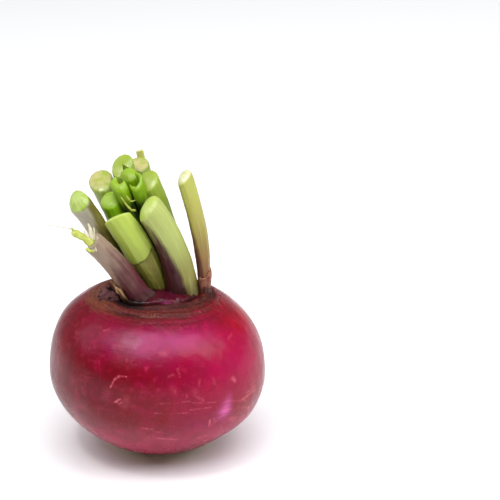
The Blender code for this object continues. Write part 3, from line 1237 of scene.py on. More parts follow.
@dataclass
class LeafStalk:
    """A cut leaf stalk: a rounded section carried along a bowed path, with a rounded cut end.

    Attributes:
        node: The CAD node that it stands for.
        foot: X and Y of its foot, in millimetres like its other sizes.
        tip: Where the middle of its cut end is.
        bow: How far its middle is pushed aside.
        widths: Its widths at the foot, the middle and the cut end.
        skin: Its finish.
        cut_lean: The side to which the cut face tips.
        dome: Rise of the cut face, as a share of the width.
        cap_power: How square the rim of the cut end is.
        groove: Depth of the groove along its inner side, in half widths.
        groove_width: Half the breadth of the groove, in half widths.
        flare: Extra width right over the foot, as a share.
        ribs: How many ribs run along it.
        flush: Where it flushes with another colour.
        seed: Picks its unevenness.
        slot: Its material slot.
        buried: How far it goes on below the crown, as a share of its length.
        depth_to_width: Depth of its outer half, in half widths.
        inner_flatness: Depth of its inner half, as a share of the outer one.
        rows: Points along it.
        cap_rows: Points from the rim of the cut end to its middle.
        sides: Points round it.
        base: Height of its foot.
        facing: Its outward side, where that isn't straight away from the heart.
        soil_and_shade: How strongly its foot is darkened by soil and painted shade.
        soil_and_shade_height: How far up it is darkened by soil and painted shade, as a share of its length.
    """

    node: str
    foot: tuple[float, float]
    tip: Vec3
    bow: Vec3
    widths: Vec3
    skin: StalkSkin | DriedSkin
    cut_lean: Vec3 = (0.0, 0.0, 0.0)
    dome: float = 0.16
    cap_power: float = 3.0
    groove: float = 0.10
    groove_width: float = 0.45
    flare: float = 0.12
    ribs: int = 13
    flush: Flush = Flush()
    seed: int = 1
    slot: str = "green_stalk"
    buried: float = 0.12
    depth_to_width: float = 0.92
    inner_flatness: float = 0.78
    rows: int = 100
    cap_rows: int = 18
    sides: int = 84
    base: float = CROWN_LEVEL
    facing: Vec3 | None = None
    soil_and_shade: float = 0.85
    soil_and_shade_height: float = 0.075

    def path(self, share: Array) -> Array:
        """A straight run from foot to tip, pushed aside by the bow as the parabola 4 s (1 - s).

        Args:
            share: Shares of the length.

        Returns:
            Points on the middle line, in metres.
        """
        share = share[..., None]
        foot = np.array([*self.foot, self.base])
        straight = foot * (1.0 - share) + np.array(self.tip) * share
        return MM * (straight + np.array(self.bow) * 4.0 * share * (1.0 - share))

    def width(self, share: Array) -> Array:
        """The parabola through the three widths, flared over the foot.

        Args:
            share: Shares of the length.

        Returns:
            The widths there, in metres.
        """
        foot, middle, tip = self.widths
        held = np.maximum(share, -0.02)
        plain = foot * (1 - held) * (1 - 2 * held) + middle * 4 * held * (1 - held)
        plain = plain + tip * held * (2 * held - 1)
        return MM * plain * (1.0 + self.flare * np.exp(-held / 0.06))

    def frames(self, share: Array) -> tuple[Array, Array, Array]:
        """Across, outward and along directions at shares of the length.

        Args:
            share: Shares of the length.

        Returns:
            The three directions, each for every share.
        """
        step = 1e-4
        along = unit(self.path(share + step) - self.path(share - step))
        away = unit(np.array(self.facing or (self.foot[0] - HEART[0], self.foot[1] - HEART[1], 0.0)))
        outward = unit(away - along * (along @ away)[..., None])
        return np.cross(along, outward), outward, along

    def section(self, turn: Array, share: Array) -> tuple[Array, Array]:
        """Sideways and outward reach of the section, for a half width of 1.

        The outer side is a half ellipse and the inner side a flatter one with a shallow groove.
        Ribs are a small cosine of the turn, fading out at the foot.

        Args:
            turn: Turns round the section.
            share: Shares of the length.

        Returns:
            Its reach sideways and outward.
        """
        rib = 1.0 + 0.012 * np.cos(self.ribs * turn + 0.8 * self.seed) * smooth(0.0, 0.25, share)
        rib = rib + 0.008 * np.cos((2 * self.ribs + 3) * turn + 1.7 * self.seed)
        depth = np.sin(turn)
        inner = self.inner_flatness * depth + self.groove * bell(np.cos(turn), 0.0, self.groove_width)
        depth = np.where(depth < 0.0, np.minimum(inner, 0.0) if self.groove < 0.3 else inner, depth)
        return np.cos(turn) * rib, self.depth_to_width * depth * rib

    def end_lift(self, offset: Array, share: Array, along: Array) -> Array:
        """How far points near the end move along the stalk so that its cut face leans.

        The face's normal is the stalk's direction plus cut_lean, so a point q from the middle line
        moves by -(q . normal) / (along . normal), fading in over the last part.

        Args:
            offset: The way to each point from the middle line.
            share: Shares of the length.
            along: The stalk's direction there.

        Returns:
            The lift, in metres.
        """
        normal = unit(along + np.array(self.cut_lean))
        return -dot(offset, normal) / dot(along, normal) * smooth(0.72, 1.0, share)

    def marks(self, turn: Array, share: Array, shrink: Array) -> tuple[Array, Array]:
        """Extra lift along the stalk and extra stand-out, in millimetres: an uneven foot."""
        wave = np.sin(5 * turn + self.seed) + 0.7 * np.sin(11 * turn + 2 * self.seed)
        return np.zeros_like(turn), 0.22 * wave * smooth(0.10, 0.0, share)

    def surface(self) -> Surface:
        """The whole skin of the stalk, from below the crown to the middle of its cut face.

        Over the cap, at the angle c, the section shrinks to cos^(2/p) c and rises by
        dome * width * sin^(2/p) c.

        Returns:
            The surface with its masks.
        """
        cap = np.linspace(0.0, math.pi / 2, self.cap_rows + 1)[1:-1]
        shaft = np.linspace(-self.buried, 1.0, self.rows)
        share, turn = section_grid(np.concatenate([shaft, np.ones(len(cap))]), self.sides)
        level = np.concatenate([np.zeros(self.rows), cap])[:, None] + np.zeros_like(turn)
        shrink, rise = np.cos(level) ** (2 / self.cap_power), np.sin(level) ** (2 / self.cap_power)
        across, outward, along = self.frames(share)
        half = self.width(share) / 2.0
        sideways, depth = self.section(turn, share)
        offset = across * (half * shrink * sideways)[..., None] + outward * (half * shrink * depth)[..., None]
        more_lift, stand_out = self.marks(turn, share, shrink)
        lift = self.end_lift(offset, share, along) + rise * self.dome * 2.0 * half + MM * more_lift
        grid = self.path(share) + offset + along * lift[..., None]
        lumps = 0.15 * Wobble(30 + self.seed, 11 * MM)(grid) + 0.05 * Wobble(60 + self.seed, 3 * MM)(grid)
        grid = grid + unit(offset) * (MM * (lumps + stand_out) * shrink)[..., None]
        return Surface(grid, self.masks(share, turn, offset, shrink))

    def grain(self, turn: Array, share: Array) -> Array:
        """A place that follows the stalk: round it, and along it in centimetres."""
        length = math.dist((*self.foot, self.base), self.tip) / 10.0
        return np.stack([np.cos(turn), np.sin(turn), share * length + self.seed], -1)

    def masks(self, share: Array, turn: Array, offset: Array, shrink: Array) -> Masks:
        """Height along the stalk, flush, cut face, its vessel bundles, and soil with painted shade at the foot.

        Args:
            share: Shares of the length.
            turn: Turns round the section.
            offset: The way to each point from the middle line.
            shrink: Size of the section over the cut end, falling from 1 to 0.

        Returns:
            Masks of 0 to 1 by name, and the grain.
        """
        flush = self.flush
        cut = smooth(0.985, 0.90, shrink)
        toward = unit(offset) @ np.array(flush.side)
        edge = flush.at_foot + (flush.at_tip - flush.at_foot) * share
        fade = flush.amount + (flush.tip_amount - flush.amount) * np.clip(share, 0, 1)
        stain = fade * smooth(-0.3, 0.3, toward - edge)
        if flush.foot:
            stain = stain + flush.amount * smooth(flush.foot, 0.0, share)
        bundles = 0.35 * (0.5 + 0.5 * np.cos(9 * turn + self.seed)) * bell(shrink, 0.62, 0.14) * cut
        trough = smooth(0.2, 0.5, self.groove) * bell(np.cos(turn), 0.0, 0.45)
        trough = trough * smooth(0.0, -0.5, np.sin(turn)) * cut
        return {
            "height": np.clip(share, 0.0, 1.0),
            "flush": np.clip(stain, 0.0, 1.0) * (1.0 - cut),
            "cut": cut,
            "bundle": np.maximum(bundles, trough),
            # Soil and painted shade where the foot sits down among the other stalks.
            "dirt_and_shade": self.soil_and_shade * smooth(self.soil_and_shade_height, -0.02, share),
            "grain": self.grain(turn, share),
        }

    def build(self) -> Piece:
        """Make the stalk in place of its CAD node."""
        name = self.node.replace("stalk_", "leaf_stalk_").replace("heart_", "young_")
        return attach(make_piece(name, [self.surface()], self.skin.material()), self.slot, self.node)


@dataclass
class CrackedStalk(LeafStalk):
    """A stalk whose outer layer ends in a crack across it, with darker skin below.

    Attributes:
        crack_height: Where the crack is lowest, as a share of the length.
        crack_rise: How far it rises to the sides.
    """

    crack_height: float = 0.465
    crack_rise: float = 0.05

    def above_crack(self, turn: Array, share: Array) -> Array:
        """Share of the length over the crack, whose height is a parabola of the sideways place."""
        line = self.crack_height + self.crack_rise * (np.cos(turn) + 0.2) ** 2
        return share - line - 0.006 * np.sin(5 * turn)

    def marks(self, turn: Array, share: Array, shrink: Array) -> tuple[Array, Array]:
        """The upper layer stands proud of the crack, and the crack itself is sunk.

        Args:
            turn: Turns round the section.
            share: Shares of the length.
            shrink: Size of the section over the cut end, falling from 1 to 0.

        Returns:
            Lift along the stalk and stand-out from it, in millimetres.
        """
        above, front = self.above_crack(turn, share), smooth(-0.15, 0.25, np.sin(turn))
        step = 0.32 * smooth(0.0, 0.012, above) * smooth(0.30, 0.05, above) - 0.4 * bell(above, 0.0, 0.007)
        return np.zeros_like(turn), step * front + super().marks(turn, share, shrink)[1]

    def masks(self, share: Array, turn: Array, offset: Array, shrink: Array) -> Masks:
        """Darken the crack itself, and the skin below it.

        Args:
            share: Shares of the length.
            turn: Turns round the section.
            offset: The way to each point from the middle line.
            shrink: Size of the section over the cut end, falling from 1 to 0.

        Returns:
            Masks of 0 to 1 by name, and the grain.
        """
        masks = super().masks(share, turn, offset, shrink)
        above, front = self.above_crack(turn, share), smooth(-0.15, 0.25, np.sin(turn))
        # The sunk crack is darkened along its line.
        masks["dirt_and_shade"] = np.maximum(masks["dirt_and_shade"], 0.8 * front * bell(above, -0.002, 0.007))
        masks["height"] = masks["height"] * (1.0 - 0.9 * front * smooth(0.0, -0.012, above))
        return masks


@dataclass
class TornStalk(LeafStalk):
    """A stalk that was torn off: its rim is ragged and its end rough and hollow.

    Attributes:
        ragged: How far the points of its rim stand up, in millimetres.
    """

    ragged: float = 1.3

    def marks(self, turn: Array, share: Array, shrink: Array) -> tuple[Array, Array]:
        """Uneven sine waves of the turn lift the rim, and the end sinks towards its middle.

        Args:
            turn: Turns round the section.
            share: Shares of the length.
            shrink: Size of the section over the cut end, falling from 1 to 0.

        Returns:
            Lift along the stalk and stand-out from it, in millimetres.
        """
        wave = np.sin(3 * turn + 0.5) + 0.7 * np.sin(7 * turn + 2.0) + 0.5 * np.sin(13 * turn + 1.0)
        lift = self.ragged * 0.5 * wave * smooth(0.88, 1.0, share) * shrink
        lift = lift - 2.2 * (1.0 - shrink) + 0.5 * np.sin(9 * turn + 14 * shrink) * (1.0 - shrink)
        foot = super().marks(turn, share, shrink)[1]
        return lift, 0.12 * np.sin(11 * turn) * smooth(0.8, 1.0, share) + 1.6 * foot


@dataclass
class YoungLeaf(LeafStalk):
    """A young leaf: a thick curled gutter, open towards the heart.

    At a turn, its section lies at the angle spread * cos(turn) from its outward side and at the
    distance 1 - thickness + thickness * sin(turn), in half widths.

    Attributes:
        spread: How far it curls round to each side, in degrees.
        thickness: Half the thickness of its wall, in half widths.
        ruffle: How far its upper part waves in and out, in half widths.
        ragged: How far the points of its torn rim stand up, in millimetres.
        rim_rows: Points over its rounded rim.
    """

    spread: float = 110.0
    thickness: float = 0.24
    ruffle: float = 0.10
    ragged: float = 0.0
    rim_rows: int = 6

    def surface(self) -> Surface:
        """The gutter, with its rim rounded off by thinning over the last rows.

        Returns:
            The surface with its masks.
        """
        level = np.concatenate([np.zeros(self.rows), np.linspace(0.0, math.pi / 2, self.rim_rows + 1)[1:]])
        shares = np.concatenate([np.linspace(-self.buried, 1.0, self.rows), np.ones(self.rim_rows)])
        share, turn = section_grid(shares, self.sides, -1.0)
        thin = np.maximum(np.cos(level), 0.04)[:, None]
        angle = math.radians(self.spread) * np.cos(turn)
        wave = np.sin(3 * angle + 9 * share + self.seed) + 0.6 * np.sin(7 * angle + self.seed)
        reach = 1.0 - self.thickness + self.thickness * np.sin(turn) * thin
        reach = reach * (1.0 + self.ruffle * wave * smooth(0.4, 1.0, share))
        half = self.width(share) / 2.0
        across, outward, along = self.frames(share)
        offset = across * (half * reach * np.sin(-angle))[..., None]
        offset = offset + outward * (half * reach * np.cos(angle))[..., None]
        rip = np.sin(5 * angle + self.seed) + 0.7 * np.sin(11 * angle + 2.0) + 0.5 * np.sin(19 * angle)
        lift = self.end_lift(offset, share, along) + MM * self.ragged * rip * smooth(0.3, 1.0, share)
        lift = lift + half * self.thickness * np.sin(level)[:, None]
        grid = self.path(share) + offset + along * lift[..., None]
        grid = grid + unit(offset) * (0.08 * MM * Wobble(80 + self.seed, 3 * MM)(grid))[..., None]
        rim = np.sin(level)[:, None] + np.zeros_like(turn)
        lips = smooth(0.75, 1.0, np.abs(np.cos(turn))) * smooth(0.3, 0.8, share)
        edge = np.maximum(smooth(0.7, 1.0, share), lips)
        masks = self.masks(share, turn, offset, np.ones_like(turn)) | {"edge": edge}
        masks["cut"] = 0.7 * rim
        # Painted shade inside the curl of the gutter, below its rim.
        inside = 0.75 * smooth(0.2, -0.6, np.sin(turn)) * smooth(1.0, 0.7, share)
        masks["dirt_and_shade"] = np.maximum(masks["dirt_and_shade"], inside)
        return Surface(grid, masks, last=End.ZIP)


@dataclass
class Strand:
    """A thin strip or fibre: a flattened section along a bowed path, tapering to both widths.

    Attributes:
        start: Where it grows from.
        end: Where it ends.
        bow: How far its middle is pushed aside.
        widths: Widths at the start and the end.
        thickness: Its thickness as a share of its width.
        curl: Turns of the flat side along the length.
        face: Which way its flat side faces.
        seed: Picks its unevenness.
        rows: Points along it.
        sides: Points round it.
    """

    start: Vec3
    end: Vec3
    bow: Vec3 = (0.0, 0.0, 0.0)
    widths: tuple[float, float] = (1.0, 0.6)
    thickness: float = 0.3
    curl: float = 0.1
    face: Vec3 = (0.0, -1.0, 0.3)
    seed: int = 1
    rows: int = 36
    sides: int = 14

    def surface(self) -> Surface:
        """The strand's skin, closed by a point at each end.

        Returns:
            The surface with its masks.
        """
        share, turn = section_grid(np.linspace(0.0, 1.0, self.rows), self.sides, -1.0)
        start, end, bow = (np.array(point) for point in (self.start, self.end, self.bow))
        s = share[..., None]
        middle = start * (1 - s) + end * s + bow * 4 * s * (1 - s)
        along = unit(end - start + bow * 4 * (1 - 2 * s))
        front = unit(np.array(self.face) - along * (along @ np.array(self.face))[..., None])
        side = np.cross(front, along)
        twist = 2 * math.pi * self.curl * share
        flat = side * np.cos(twist)[..., None] + front * np.sin(twist)[..., None]
        thin = np.cross(along, flat)
        half = (self.widths[0] * (1 - share) + self.widths[1] * share) / 2.0
        half = half * (1.0 + 0.12 * np.sin(9 * share + self.seed) + 0.08 * np.sin(23 * share + 2 * self.seed))
        half = half * np.sqrt(np.clip(np.minimum(share, 1 - share) * self.rows / 1.5, 0.08, 1.0))
        offset = flat * (half * np.cos(turn))[..., None]
        offset = offset + thin * (half * self.thickness * np.sin(turn))[..., None]
        grain = np.stack([np.cos(turn), np.sin(turn), share * 3 + self.seed], -1)
        edge = smooth(0.5, 0.95, np.abs(np.cos(turn)))
        return Surface(MM * (middle + offset), {"edge": edge, "grain": grain})


@dataclass
class OldLeafBase:
    """The shrivelled stump of a fallen leaf: a squat ball, deeply wrinkled.

    Attributes:
        centre: The middle of the ball, in millimetres.
        size: Its half widths, in millimetres.
        finish: Its skin.
    """

    centre: Vec3 = (-18.0, -8.6, 64.1)
    size: Vec3 = (4.6, 4.3, 4.1)
    finish: DriedSkin = DriedSkin("old_leaf_base", tint(42, 14, 18), tint(114, 70, 72), tint(132, 86, 80))

    def build(self) -> Piece:
        """Push a ball's surface in and out by coarse, middle and fine wrinkles.

        Returns:
            The piece.
        """
        lean, turn = section_grid(np.linspace(0.05, math.pi - 0.05, 70), 110)
        ball = np.stack([np.sin(lean) * np.cos(turn), np.sin(lean) * np.sin(turn), np.cos(lean)], -1)
        fold = 1.0 - np.abs(Wobble(41, 0.9)(ball))
        push = 0.86 + 0.20 * fold + 0.07 * Wobble(42, 0.35)(ball) + 0.10 * Wobble(43, 1.6)(ball)
        peak = 1.0 + 0.25 * smooth(0.9, 0.0, lean) * (1.0 + Wobble(44, 0.6)(ball))
        grid = MM * (np.array(self.centre) + ball * np.array(self.size) * (push * peak)[..., None])
        # Painted shade on the stump's lower right side.
        shaded = smooth(0.1, 0.85, 0.8 * ball[..., 0] - 0.5 * ball[..., 2] + 0.35 * Wobble(45, 0.5)(ball))
        masks = {"edge": smooth(0.75, 1.05, fold) * 0.5, "dirt_and_shade": 0.85 * shaded, "grain": ball * 1.5}
        piece = make_piece("old_leaf_stump", [Surface(grid, masks)], self.finish.material())
        return attach(piece, "dried_leaf", "old_leaf_base")


# ---- Studio ----


@dataclass(frozen=True)
class Studio:
    """A white floor under a broad light, and the camera.

    Attributes:
        floor_size: Side of the floor, in metres.
        camera_place: Where the camera stands.
        camera_pitch: How far it is tipped up from straight down, in radians.
        lens: Its focal length, in millimetres.
        room: Strength of the world in front.
        backdrop: Strength of the world behind.
        from_room: Where the world's Y changes from the one to the other.
        horizon: How many times stronger the world is at the horizon.
        haze: Where the world's height changes from the horizon to the rest.
    """

    floor_size: float = 8.0
    camera_place: Vec3 = (0.0356, -0.4587, 0.2362)
    camera_pitch: float = math.radians(71.3)
    lens: float = 90.0
    room: float = 0.05
    backdrop: float = 0.18
    from_room: tuple[float, float] = (-0.75, 0.2)
    horizon: float = 3.6
    haze: tuple[float, float] = (0.06, 0.22)

    def floor(self) -> None:
        """Lay the floor just under the root scar."""
        line = np.linspace(-0.5, 0.5, 9) * self.floor_size
        x, y = np.meshgrid(line, line, indexing="xy")
        grid = np.stack([x, y, np.full_like(x, -0.05 * MM)], -1)[::-1]
        surface = Surface(grid, {}, End.OPEN, End.OPEN, flat=True)
        make_piece("studio_floor", [surface], StudioWhite().material())

    def surroundings(self) -> None:
        """A world that is dim, dimmer in front where the room is, and pale near the horizon.

        The strength falls along -Y on a smooth cubic, and away from the horizon on another.
        """
        world = bpy.data.worlds.new("studio")
        bpy.context.scene.world = world
        world.use_nodes = True
        air = Nodes(world.node_tree)
        split = air.node("SeparateXYZ", {"Vector": air.node("TexCoord").outputs["Generated"]}).outputs
        fall = air.range(split["Y"], *self.from_room, self.room, self.backdrop)
        slant = air.node("Math", {0: split["Z"]}, operation="ABSOLUTE").outputs["Value"]
        strength = air.math("MULTIPLY", fall, air.range(slant, *self.haze, self.horizon, 1.0))
        air.link(strength, world.node_tree.nodes["Background"].inputs["Strength"])
        air.link((1.0, 1.0, 1.0, 1.0), world.node_tree.nodes["Background"].inputs["Color"])

    def hang(self, light: bpy.types.Light, place: Vec3, aim: Vec3) -> Piece:
        """Put a light at a place, facing a point.

        Args:
            light: The light.
            place: Where it is.
            aim: The point that it faces.

        Returns:
            The object that holds it.
        """
        holder = bpy.data.objects.new(light.name, light)
        bpy.context.scene.collection.objects.link(holder)
        holder.location = place
        x, y, z = np.subtract(aim, place)
        holder.rotation_euler = (math.atan2(math.hypot(x, y), -z), 0.0, math.atan2(-x, y))
        return holder

    def lamp(self, name: str, place: Vec3, aim: Vec3, size: tuple[float, float], power: float) -> Piece:
        """Hang a rectangular area light of some watts that faces a point.

        Args:
            name: Its name.
            place: Where it is.
            aim: The point that it faces.
            size: Its two sides, in metres.
            power: Its power, in watts.

        Returns:
            The object that holds it.
        """
        light = bpy.data.lights.new(name, "AREA")
        light.shape = "RECTANGLE"
        light.size, light.size_y = size
        light.energy = power
        return self.hang(light, place, aim)

    def light(self) -> None:
        """A broad light up in front, a small one that glints on wet cuts, and even light from above."""
        softbox = self.lamp("softbox", (1.85, -1.0, 3.0), (1.71, 0.0, 0.05), (8.0, 2.4), 254.0)
        softbox.data.color = (0.955, 0.970, 1.0)
        self.lamp("side_panel", (-2.4, 0.2, 2.0), (0.0, 0.0, 0.05), (2.0, 2.0), 15.0)
        self.lamp("glint", (-0.22, -0.30, 0.78), (0.0, 0.0, 0.05), (0.09, 0.09), 1.05)
        self.lamp("floor_wash", (0.2, 2.3, 2.2), (0.2, 1.25, 0.0), (3.6, 1.4), 30.0).visible_glossy = False
        sky = bpy.data.lights.new("sky", "SUN")
        sky.energy = 0.25
        sky.angle = math.radians(50.0)
        self.hang(sky, (0.1, 0.35, 1.0), (0.0, 0.0, 0.0)).visible_glossy = False

    def camera(self) -> None:
        """A long lens at the front, looking down."""
        data = bpy.data.cameras.new("camera")
        data.lens = self.lens
        data.sensor_width = 36.0
        holder = bpy.data.objects.new("camera", data)
        bpy.context.scene.collection.objects.link(holder)
        holder.location = self.camera_place
        holder.rotation_euler = (self.camera_pitch, 0.0, 0.0)
        bpy.context.scene.camera = holder

    def build(self) -> None:
        """Set up floor, lights, camera and the plain display of colours."""
        self.floor()
        self.surroundings()
        self.light()
        self.camera()
        bpy.context.scene.view_settings.view_transform = "Standard"


# ---- The turnip ----

PALE_GREEN = StalkSkin("pale_green_stalk")
CRACKED = StalkSkin("cracked_stalk", top=tint(174, 194, 76), low=tint(124, 116, 38), pale=tint(190, 204, 108))
MAUVE_SKIN = StalkSkin(
    "mauve_stalk", top=tint(148, 126, 106), low=tint(126, 90, 66), flush=tint(84, 22, 34),
    pale=tint(160, 134, 118), cut=tint(206, 190, 160), heart=tint(226, 214, 196), glow=0.05,
)
OLIVE = StalkSkin(
    "olive_stalk", top=tint(102, 94, 28), low=tint(80, 54, 24), flush=tint(166, 158, 136), pale=tint(120, 108, 46),
    cut=tint(150, 178, 72), heart=tint(180, 196, 110),
)
BRIGHT = StalkSkin(
    "bright_green_stalk", top=tint(134, 182, 14), low=tint(48, 78, 4), pale=tint(120, 160, 20),
    cut=tint(136, 170, 50), heart=tint(160, 186, 80), rise=(0.70, 0.97), roughness=0.5, gloss=0.3,
)
# Near-black low and flush colours: painted shade deep in the heart, among the other stalks.
YOUNG = StalkSkin(
    "young_leaf", top=tint(122, 162, 8), low=tint(20, 42, 2), pale=tint(138, 170, 18), cut=tint(148, 172, 58),
    heart=tint(136, 166, 46), flush=tint(24, 40, 2), rise=(0.80, 0.955), gloss=0.28,
)
# The pale heart on the cut face is partly the cut's own colour and partly a painted glint.
STRAW = StalkSkin(
    "straw_green_stalk", top=tint(178, 180, 86), low=tint(128, 72, 40), flush=tint(84, 32, 24),
    pale=tint(196, 186, 106), cut=tint(188, 194, 124), heart=tint(216, 212, 172), rise=(0.0, 1.0),
)
COOL = StalkSkin(
    "cool_green_stalk", top=tint(144, 166, 46), low=tint(48, 60, 10), pale=tint(152, 168, 66),
    cut=tint(146, 164, 62), heart=tint(168, 180, 92),
)
CREAMY = StalkSkin(
    "creamy_stalk", top=tint(128, 146, 46), low=tint(48, 60, 10), cut=tint(150, 166, 66), heart=tint(188, 178, 122)
)
TAN_HUSK = DriedSkin("tan_husk", tint(84, 52, 30), tint(140, 104, 70), tint(176, 138, 96), 0.5)
SHEATH = DriedSkin("papery_sheath", tint(108, 54, 42), tint(148, 96, 72), tint(150, 98, 72), 0.5)
DARK_HUSK = DriedSkin("dark_husk", tint(48, 22, 22), tint(110, 72, 60), tint(160, 112, 74))
FIBRE = DriedSkin("torn_fibre", tint(214, 204, 170), tint(232, 222, 206), tint(196, 196, 120), 0.45)
STRIP = DriedSkin("torn_strip", tint(176, 184, 78), tint(200, 206, 112), tint(168, 172, 60), 0.42)
LEFT: Vec3 = (-1.0, 0.0, 0.0)
NONE: Vec3 = (0.0, 0.0, 0.0)
DARK_FOOT = Flush(LEFT, 1.2, 1.4, 0.16, 0.8, 0.0)


def stalks() -> list[LeafStalk]:
    """Every leaf stalk of the turnip, from the left of the crown to its heart.

    Returns:
        The stalks, sized but not yet built.
    """
    return [
        LeafStalk(
            "stalk_far_left", (-11.6, 0.0), (-28.3, -4.0, 101.1), (1.6, 0.0, 0.0), (8.0, 9.4, 10.8), OLIVE,
            (-0.10, -0.55, 0.0), 0.34, 2.0, seed=2, flush=Flush((-1.0, -0.35, 0.0), 0.9, -0.1, 0.0, 0.2, 1.0),
        ),
        TornStalk(
            "stalk_torn", (-6.8, -9.2), (-23.0, -15.5, 89.5), (0.5, 0.0, 1.0), (9.8, 9.6, 8.8), MAUVE_SKIN,
            (-0.7, -0.4, 0.0), 0.0, seed=3, slot="mauve_stalk", flare=0.18, soil_and_shade=0.85, soil_and_shade_height=0.16,
            flush=Flush((0.75, -0.65, 0.0), -0.42, 1.0, 0.12, 1.0, 0.3),
        ),
        CrackedStalk(
            "stalk_front_left", (-0.2, -1.4), (-14.0, -9.0, 96.0), (1.0, 0.0, 0.5), (6.8, 11.0, 10.6), CRACKED,
            (0.1, 0.55, 0.0), 0.17, 2.3, seed=4, flush=Flush(LEFT, 0.4, 0.95, 0.10, 0.5, 0.3),
        ),
        LeafStalk(
            "stalk_mid_left", (-4.8, 6.2), (-17.2, 2.5, 99.5), NONE, (7.4, 8.8, 10.0), BRIGHT,
            (0.10, -0.28, 0.0), 0.28, 2.2, seed=5, flush=DARK_FOOT,
        ),
        LeafStalk(
            "stalk_front_right", (8.9, -1.4), (-2.1, -9.0, 99.6), (2.1, 0.0, 1.0), (13.4, 12.0, 11.2), PALE_GREEN,
            (-0.42, -0.12, 0.0), 0.30, 2.1, seed=6, flare=0.06, soil_and_shade=0.8, soil_and_shade_height=0.18,
            flush=Flush((-1.0, -0.10, 0.0), -0.34, 0.40, 0.0, 1.2, 0.75),
        ),
        LeafStalk(
            "stalk_mid_right", (9.4, 8.0), (-3.6, 5.5, 106.0), (0.6, 0.0, 1.0), (8.0, 8.6, 10.6), COOL,
            (-0.25, -0.5, 0.0), 0.24, 2.3, seed=7, flush=DARK_FOOT,
        ),
        LeafStalk(
            "stalk_far_right", (17.4, 0.8), (10.5, 2.0, 108.5), (1.6, 0.0, 0.5), (5.4, 7.4, 7.6), STRAW,
            (-0.4, -0.3, 0.0), 0.34, 2.1, seed=8, soil_and_shade=0.4,
            flush=Flush(LEFT, -0.35, 0.9, 0.06, 1.0, 0.3),
        ),
        LeafStalk(
            "stalk_back_left", (-12.5, 10.4), (-22.0, 13.0, 104.5), (1.6, 0.0, 0.0), (7.6, 7.8, 11.0), CREAMY,
            (0.25, -0.55, 0.0), 0.18, 2.3, seed=9, flush=DARK_FOOT,
        ),
        LeafStalk(
            "stalk_back_middle", (-4.0, 15.0), (-14.0, 14.5, 110.2), NONE, (8.2, 9.0, 9.2), COOL,
            (-0.1, -0.85, 0.0), 0.14, 2.4, groove=0.8, groove_width=0.22, seed=10, flush=DARK_FOOT,
        ),
        LeafStalk(
            "stalk_back_right", (5.2, 15.4), (-9.6, 22.3, 107.9), NONE, (7.4, 7.8, 10.8), CREAMY,
            (0.0, -0.55, 0.0), 0.14, 2.4, groove=0.3, seed=11, flush=DARK_FOOT,
        ),
        LeafStalk(
            "stalk_thin", (1.0, 21.0), (-8.6, 29.0, 112.8), NONE, (3.0, 2.9, 2.8), STRAW,
            NONE, 0.3, 2.3, seed=12, sides=40, rows=70, flush=DARK_FOOT,
        ),
        LeafStalk(
            "heart_stalk", (2.8, 7.2), (-11.0, 6.5, 108.2), NONE, (3.4, 5.0, 8.0), YOUNG,
            (0.0, -0.4, 0.0), 0.36, 2.0, seed=13, slot="young_leaf", flush=DARK_FOOT,
        ),
        YoungLeaf(
            "heart_leaf_left", (0.4, 3.8), (-13.8, 0.4, 107.0), NONE, (3.2, 5.2, 7.6), YOUNG,
            (0.15, -0.60, 0.0), seed=14, slot="young_leaf", facing=(-0.6, -0.8, 0.0), spread=120.0,
            ruffle=0.06, thickness=0.47,
        ),
        YoungLeaf(
            "heart_leaf_right", (5.0, 3.0), (-8.2, 1.2, 108.0), NONE, (3.2, 4.8, 6.4), YOUNG,
            (-0.1, -0.95, 0.0), seed=15, slot="young_leaf", facing=(0.75, -0.65, 0.0), spread=120.0,
            ruffle=0.04,
        ),
    ]


def husks() -> list[tuple[str, YoungLeaf]]:
    """Dried sheaths round the feet of the stalks, each with its piece's name.

    Returns:
        The name and the sheath of each.
    """
    thin = dict(slot="dried_leaf", thickness=0.10, ruffle=0.04, buried=0.3, rows=44, sides=64, flare=0.0)
    return [
        ("papery_sheath", YoungLeaf(
            "papery_scale", (17.4, 0.7), (17.3, 0.6, 70.8), NONE, (5.9, 6.4, 6.7), SHEATH,
            (-0.5, -0.3, 0.0), facing=(0.6, -0.8, 0.0), spread=74.0, ragged=0.5, seed=3, soil_and_shade=0.5, **thin,
        )),
        ("torn_stalk_husk", YoungLeaf(
            "", (-7.8, -9.6), (-11.6, -10.8, 71.5), NONE, (11.2, 10.8, 10.2), TAN_HUSK,
            facing=(-1.0, -0.25, 0.0), spread=50.0, ragged=0.9, seed=5, soil_and_shade_height=0.85, **thin,
        )),
        ("crown_husk_left", YoungLeaf(
            "", (-15.4, 1.0), (-16.9, 1.0, 68.4), NONE, (6.5, 5.5, 4.0), DARK_HUSK,
            spread=60.0, ragged=0.7, seed=8, **thin,
        )),
    ]


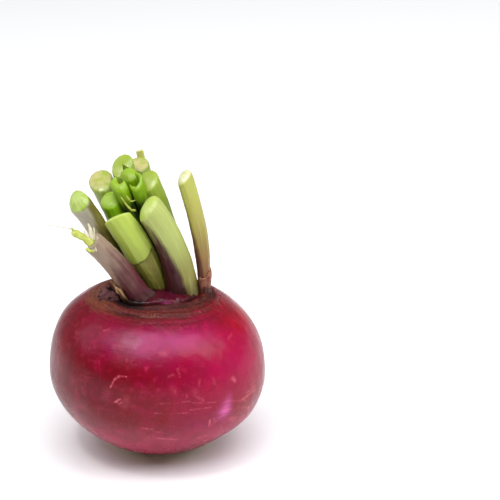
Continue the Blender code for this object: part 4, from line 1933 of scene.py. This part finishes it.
FIBRES: dict[str, tuple[DriedSkin, str, tuple[Strand, ...]]] = {
    "torn_strip": (STRIP, "green_stalk", (
        Strand((-23.0, -17.5, 88.9), (-30.6, -17.5, 94.0), (0.2, 0.0, 0.5), (3.2, 2.3), 0.28, 0.03, seed=1),
        Strand((-29.6, -17.5, 94.2), (-30.8, -17.5, 95.5), (0.0, 0.0, 0.1), (1.1, 0.6), 0.4, 0.0, seed=2),
        Strand((-25.2, -18.6, 88.0), (-22.2, -19.6, 87.2), (0.0, -0.3, -0.5), (1.3, 0.9), 0.5, 0.0, seed=6),
    )),
    "torn_tuft": (FIBRE, "mauve_stalk", (
        Strand((-23.4, -17.0, 90.4), (-24.5, -16.6, 97.0), (0.4, 0.0, 0.3), (2.2, 0.6), 0.25, 0.06, seed=3),
        Strand((-23.9, -17.2, 91.0), (-25.9, -16.8, 94.2), (-0.3, 0.0, 0.1), (1.5, 0.5), 0.3, 0.05, seed=4),
        Strand((-22.9, -17.0, 90.2), (-22.4, -16.6, 95.4), (0.3, 0.0, 0.2), (1.4, 0.5), 0.3, 0.05, seed=5),
        Strand((-30.4, -17.5, 95.0), (-40.9, -17.5, 96.6), (0.0, 0.0, 0.3), (0.35, 0.16), 0.9, 0.0, seed=7),
    )),
    "heart_strands": (STRIP, "young_leaf", (
        Strand((-13.3, -3.6, 103.5), (-9.2, -4.4, 98.2), (-0.2, 0.0, -0.2), (0.6, 0.9), 0.5, 0.0, seed=8),
        Strand((-9.6, -4.5, 98.4), (-7.7, -4.6, 98.3), (0.0, 0.0, 0.0), (1.0, 0.8), 0.5, 0.0, seed=9),
        Strand((-11.1, -4.0, 104.0), (-9.4, -4.2, 101.8), (0.0, 0.0, -0.2), (0.6, 0.6), 0.6, 0.0, seed=10),
        Strand((-9.6, -4.2, 101.8), (-7.9, -4.4, 102.3), (0.0, 0.0, -0.1), (0.6, 0.5), 0.6, 0.0, seed=11),
    )),
}


def main() -> None:
    """Build the studio and the turnip, piece by piece."""
    logging.basicConfig(level=logging.INFO, format="%(name)s: %(message)s")
    Studio().build()
    Root().build()
    for stalk in stalks():
        stalk.build()
    for name, husk in husks():
        piece = make_piece(name, [husk.surface()], husk.skin.material())
        attach(piece, husk.slot, *([husk.node] if husk.node else []))
    OldLeafBase().build()
    for name, (skin, slot, strands) in FIBRES.items():
        attach(make_piece(name, [strand.surface() for strand in strands], skin.material()), slot)


if __name__ == "__main__":
    main()
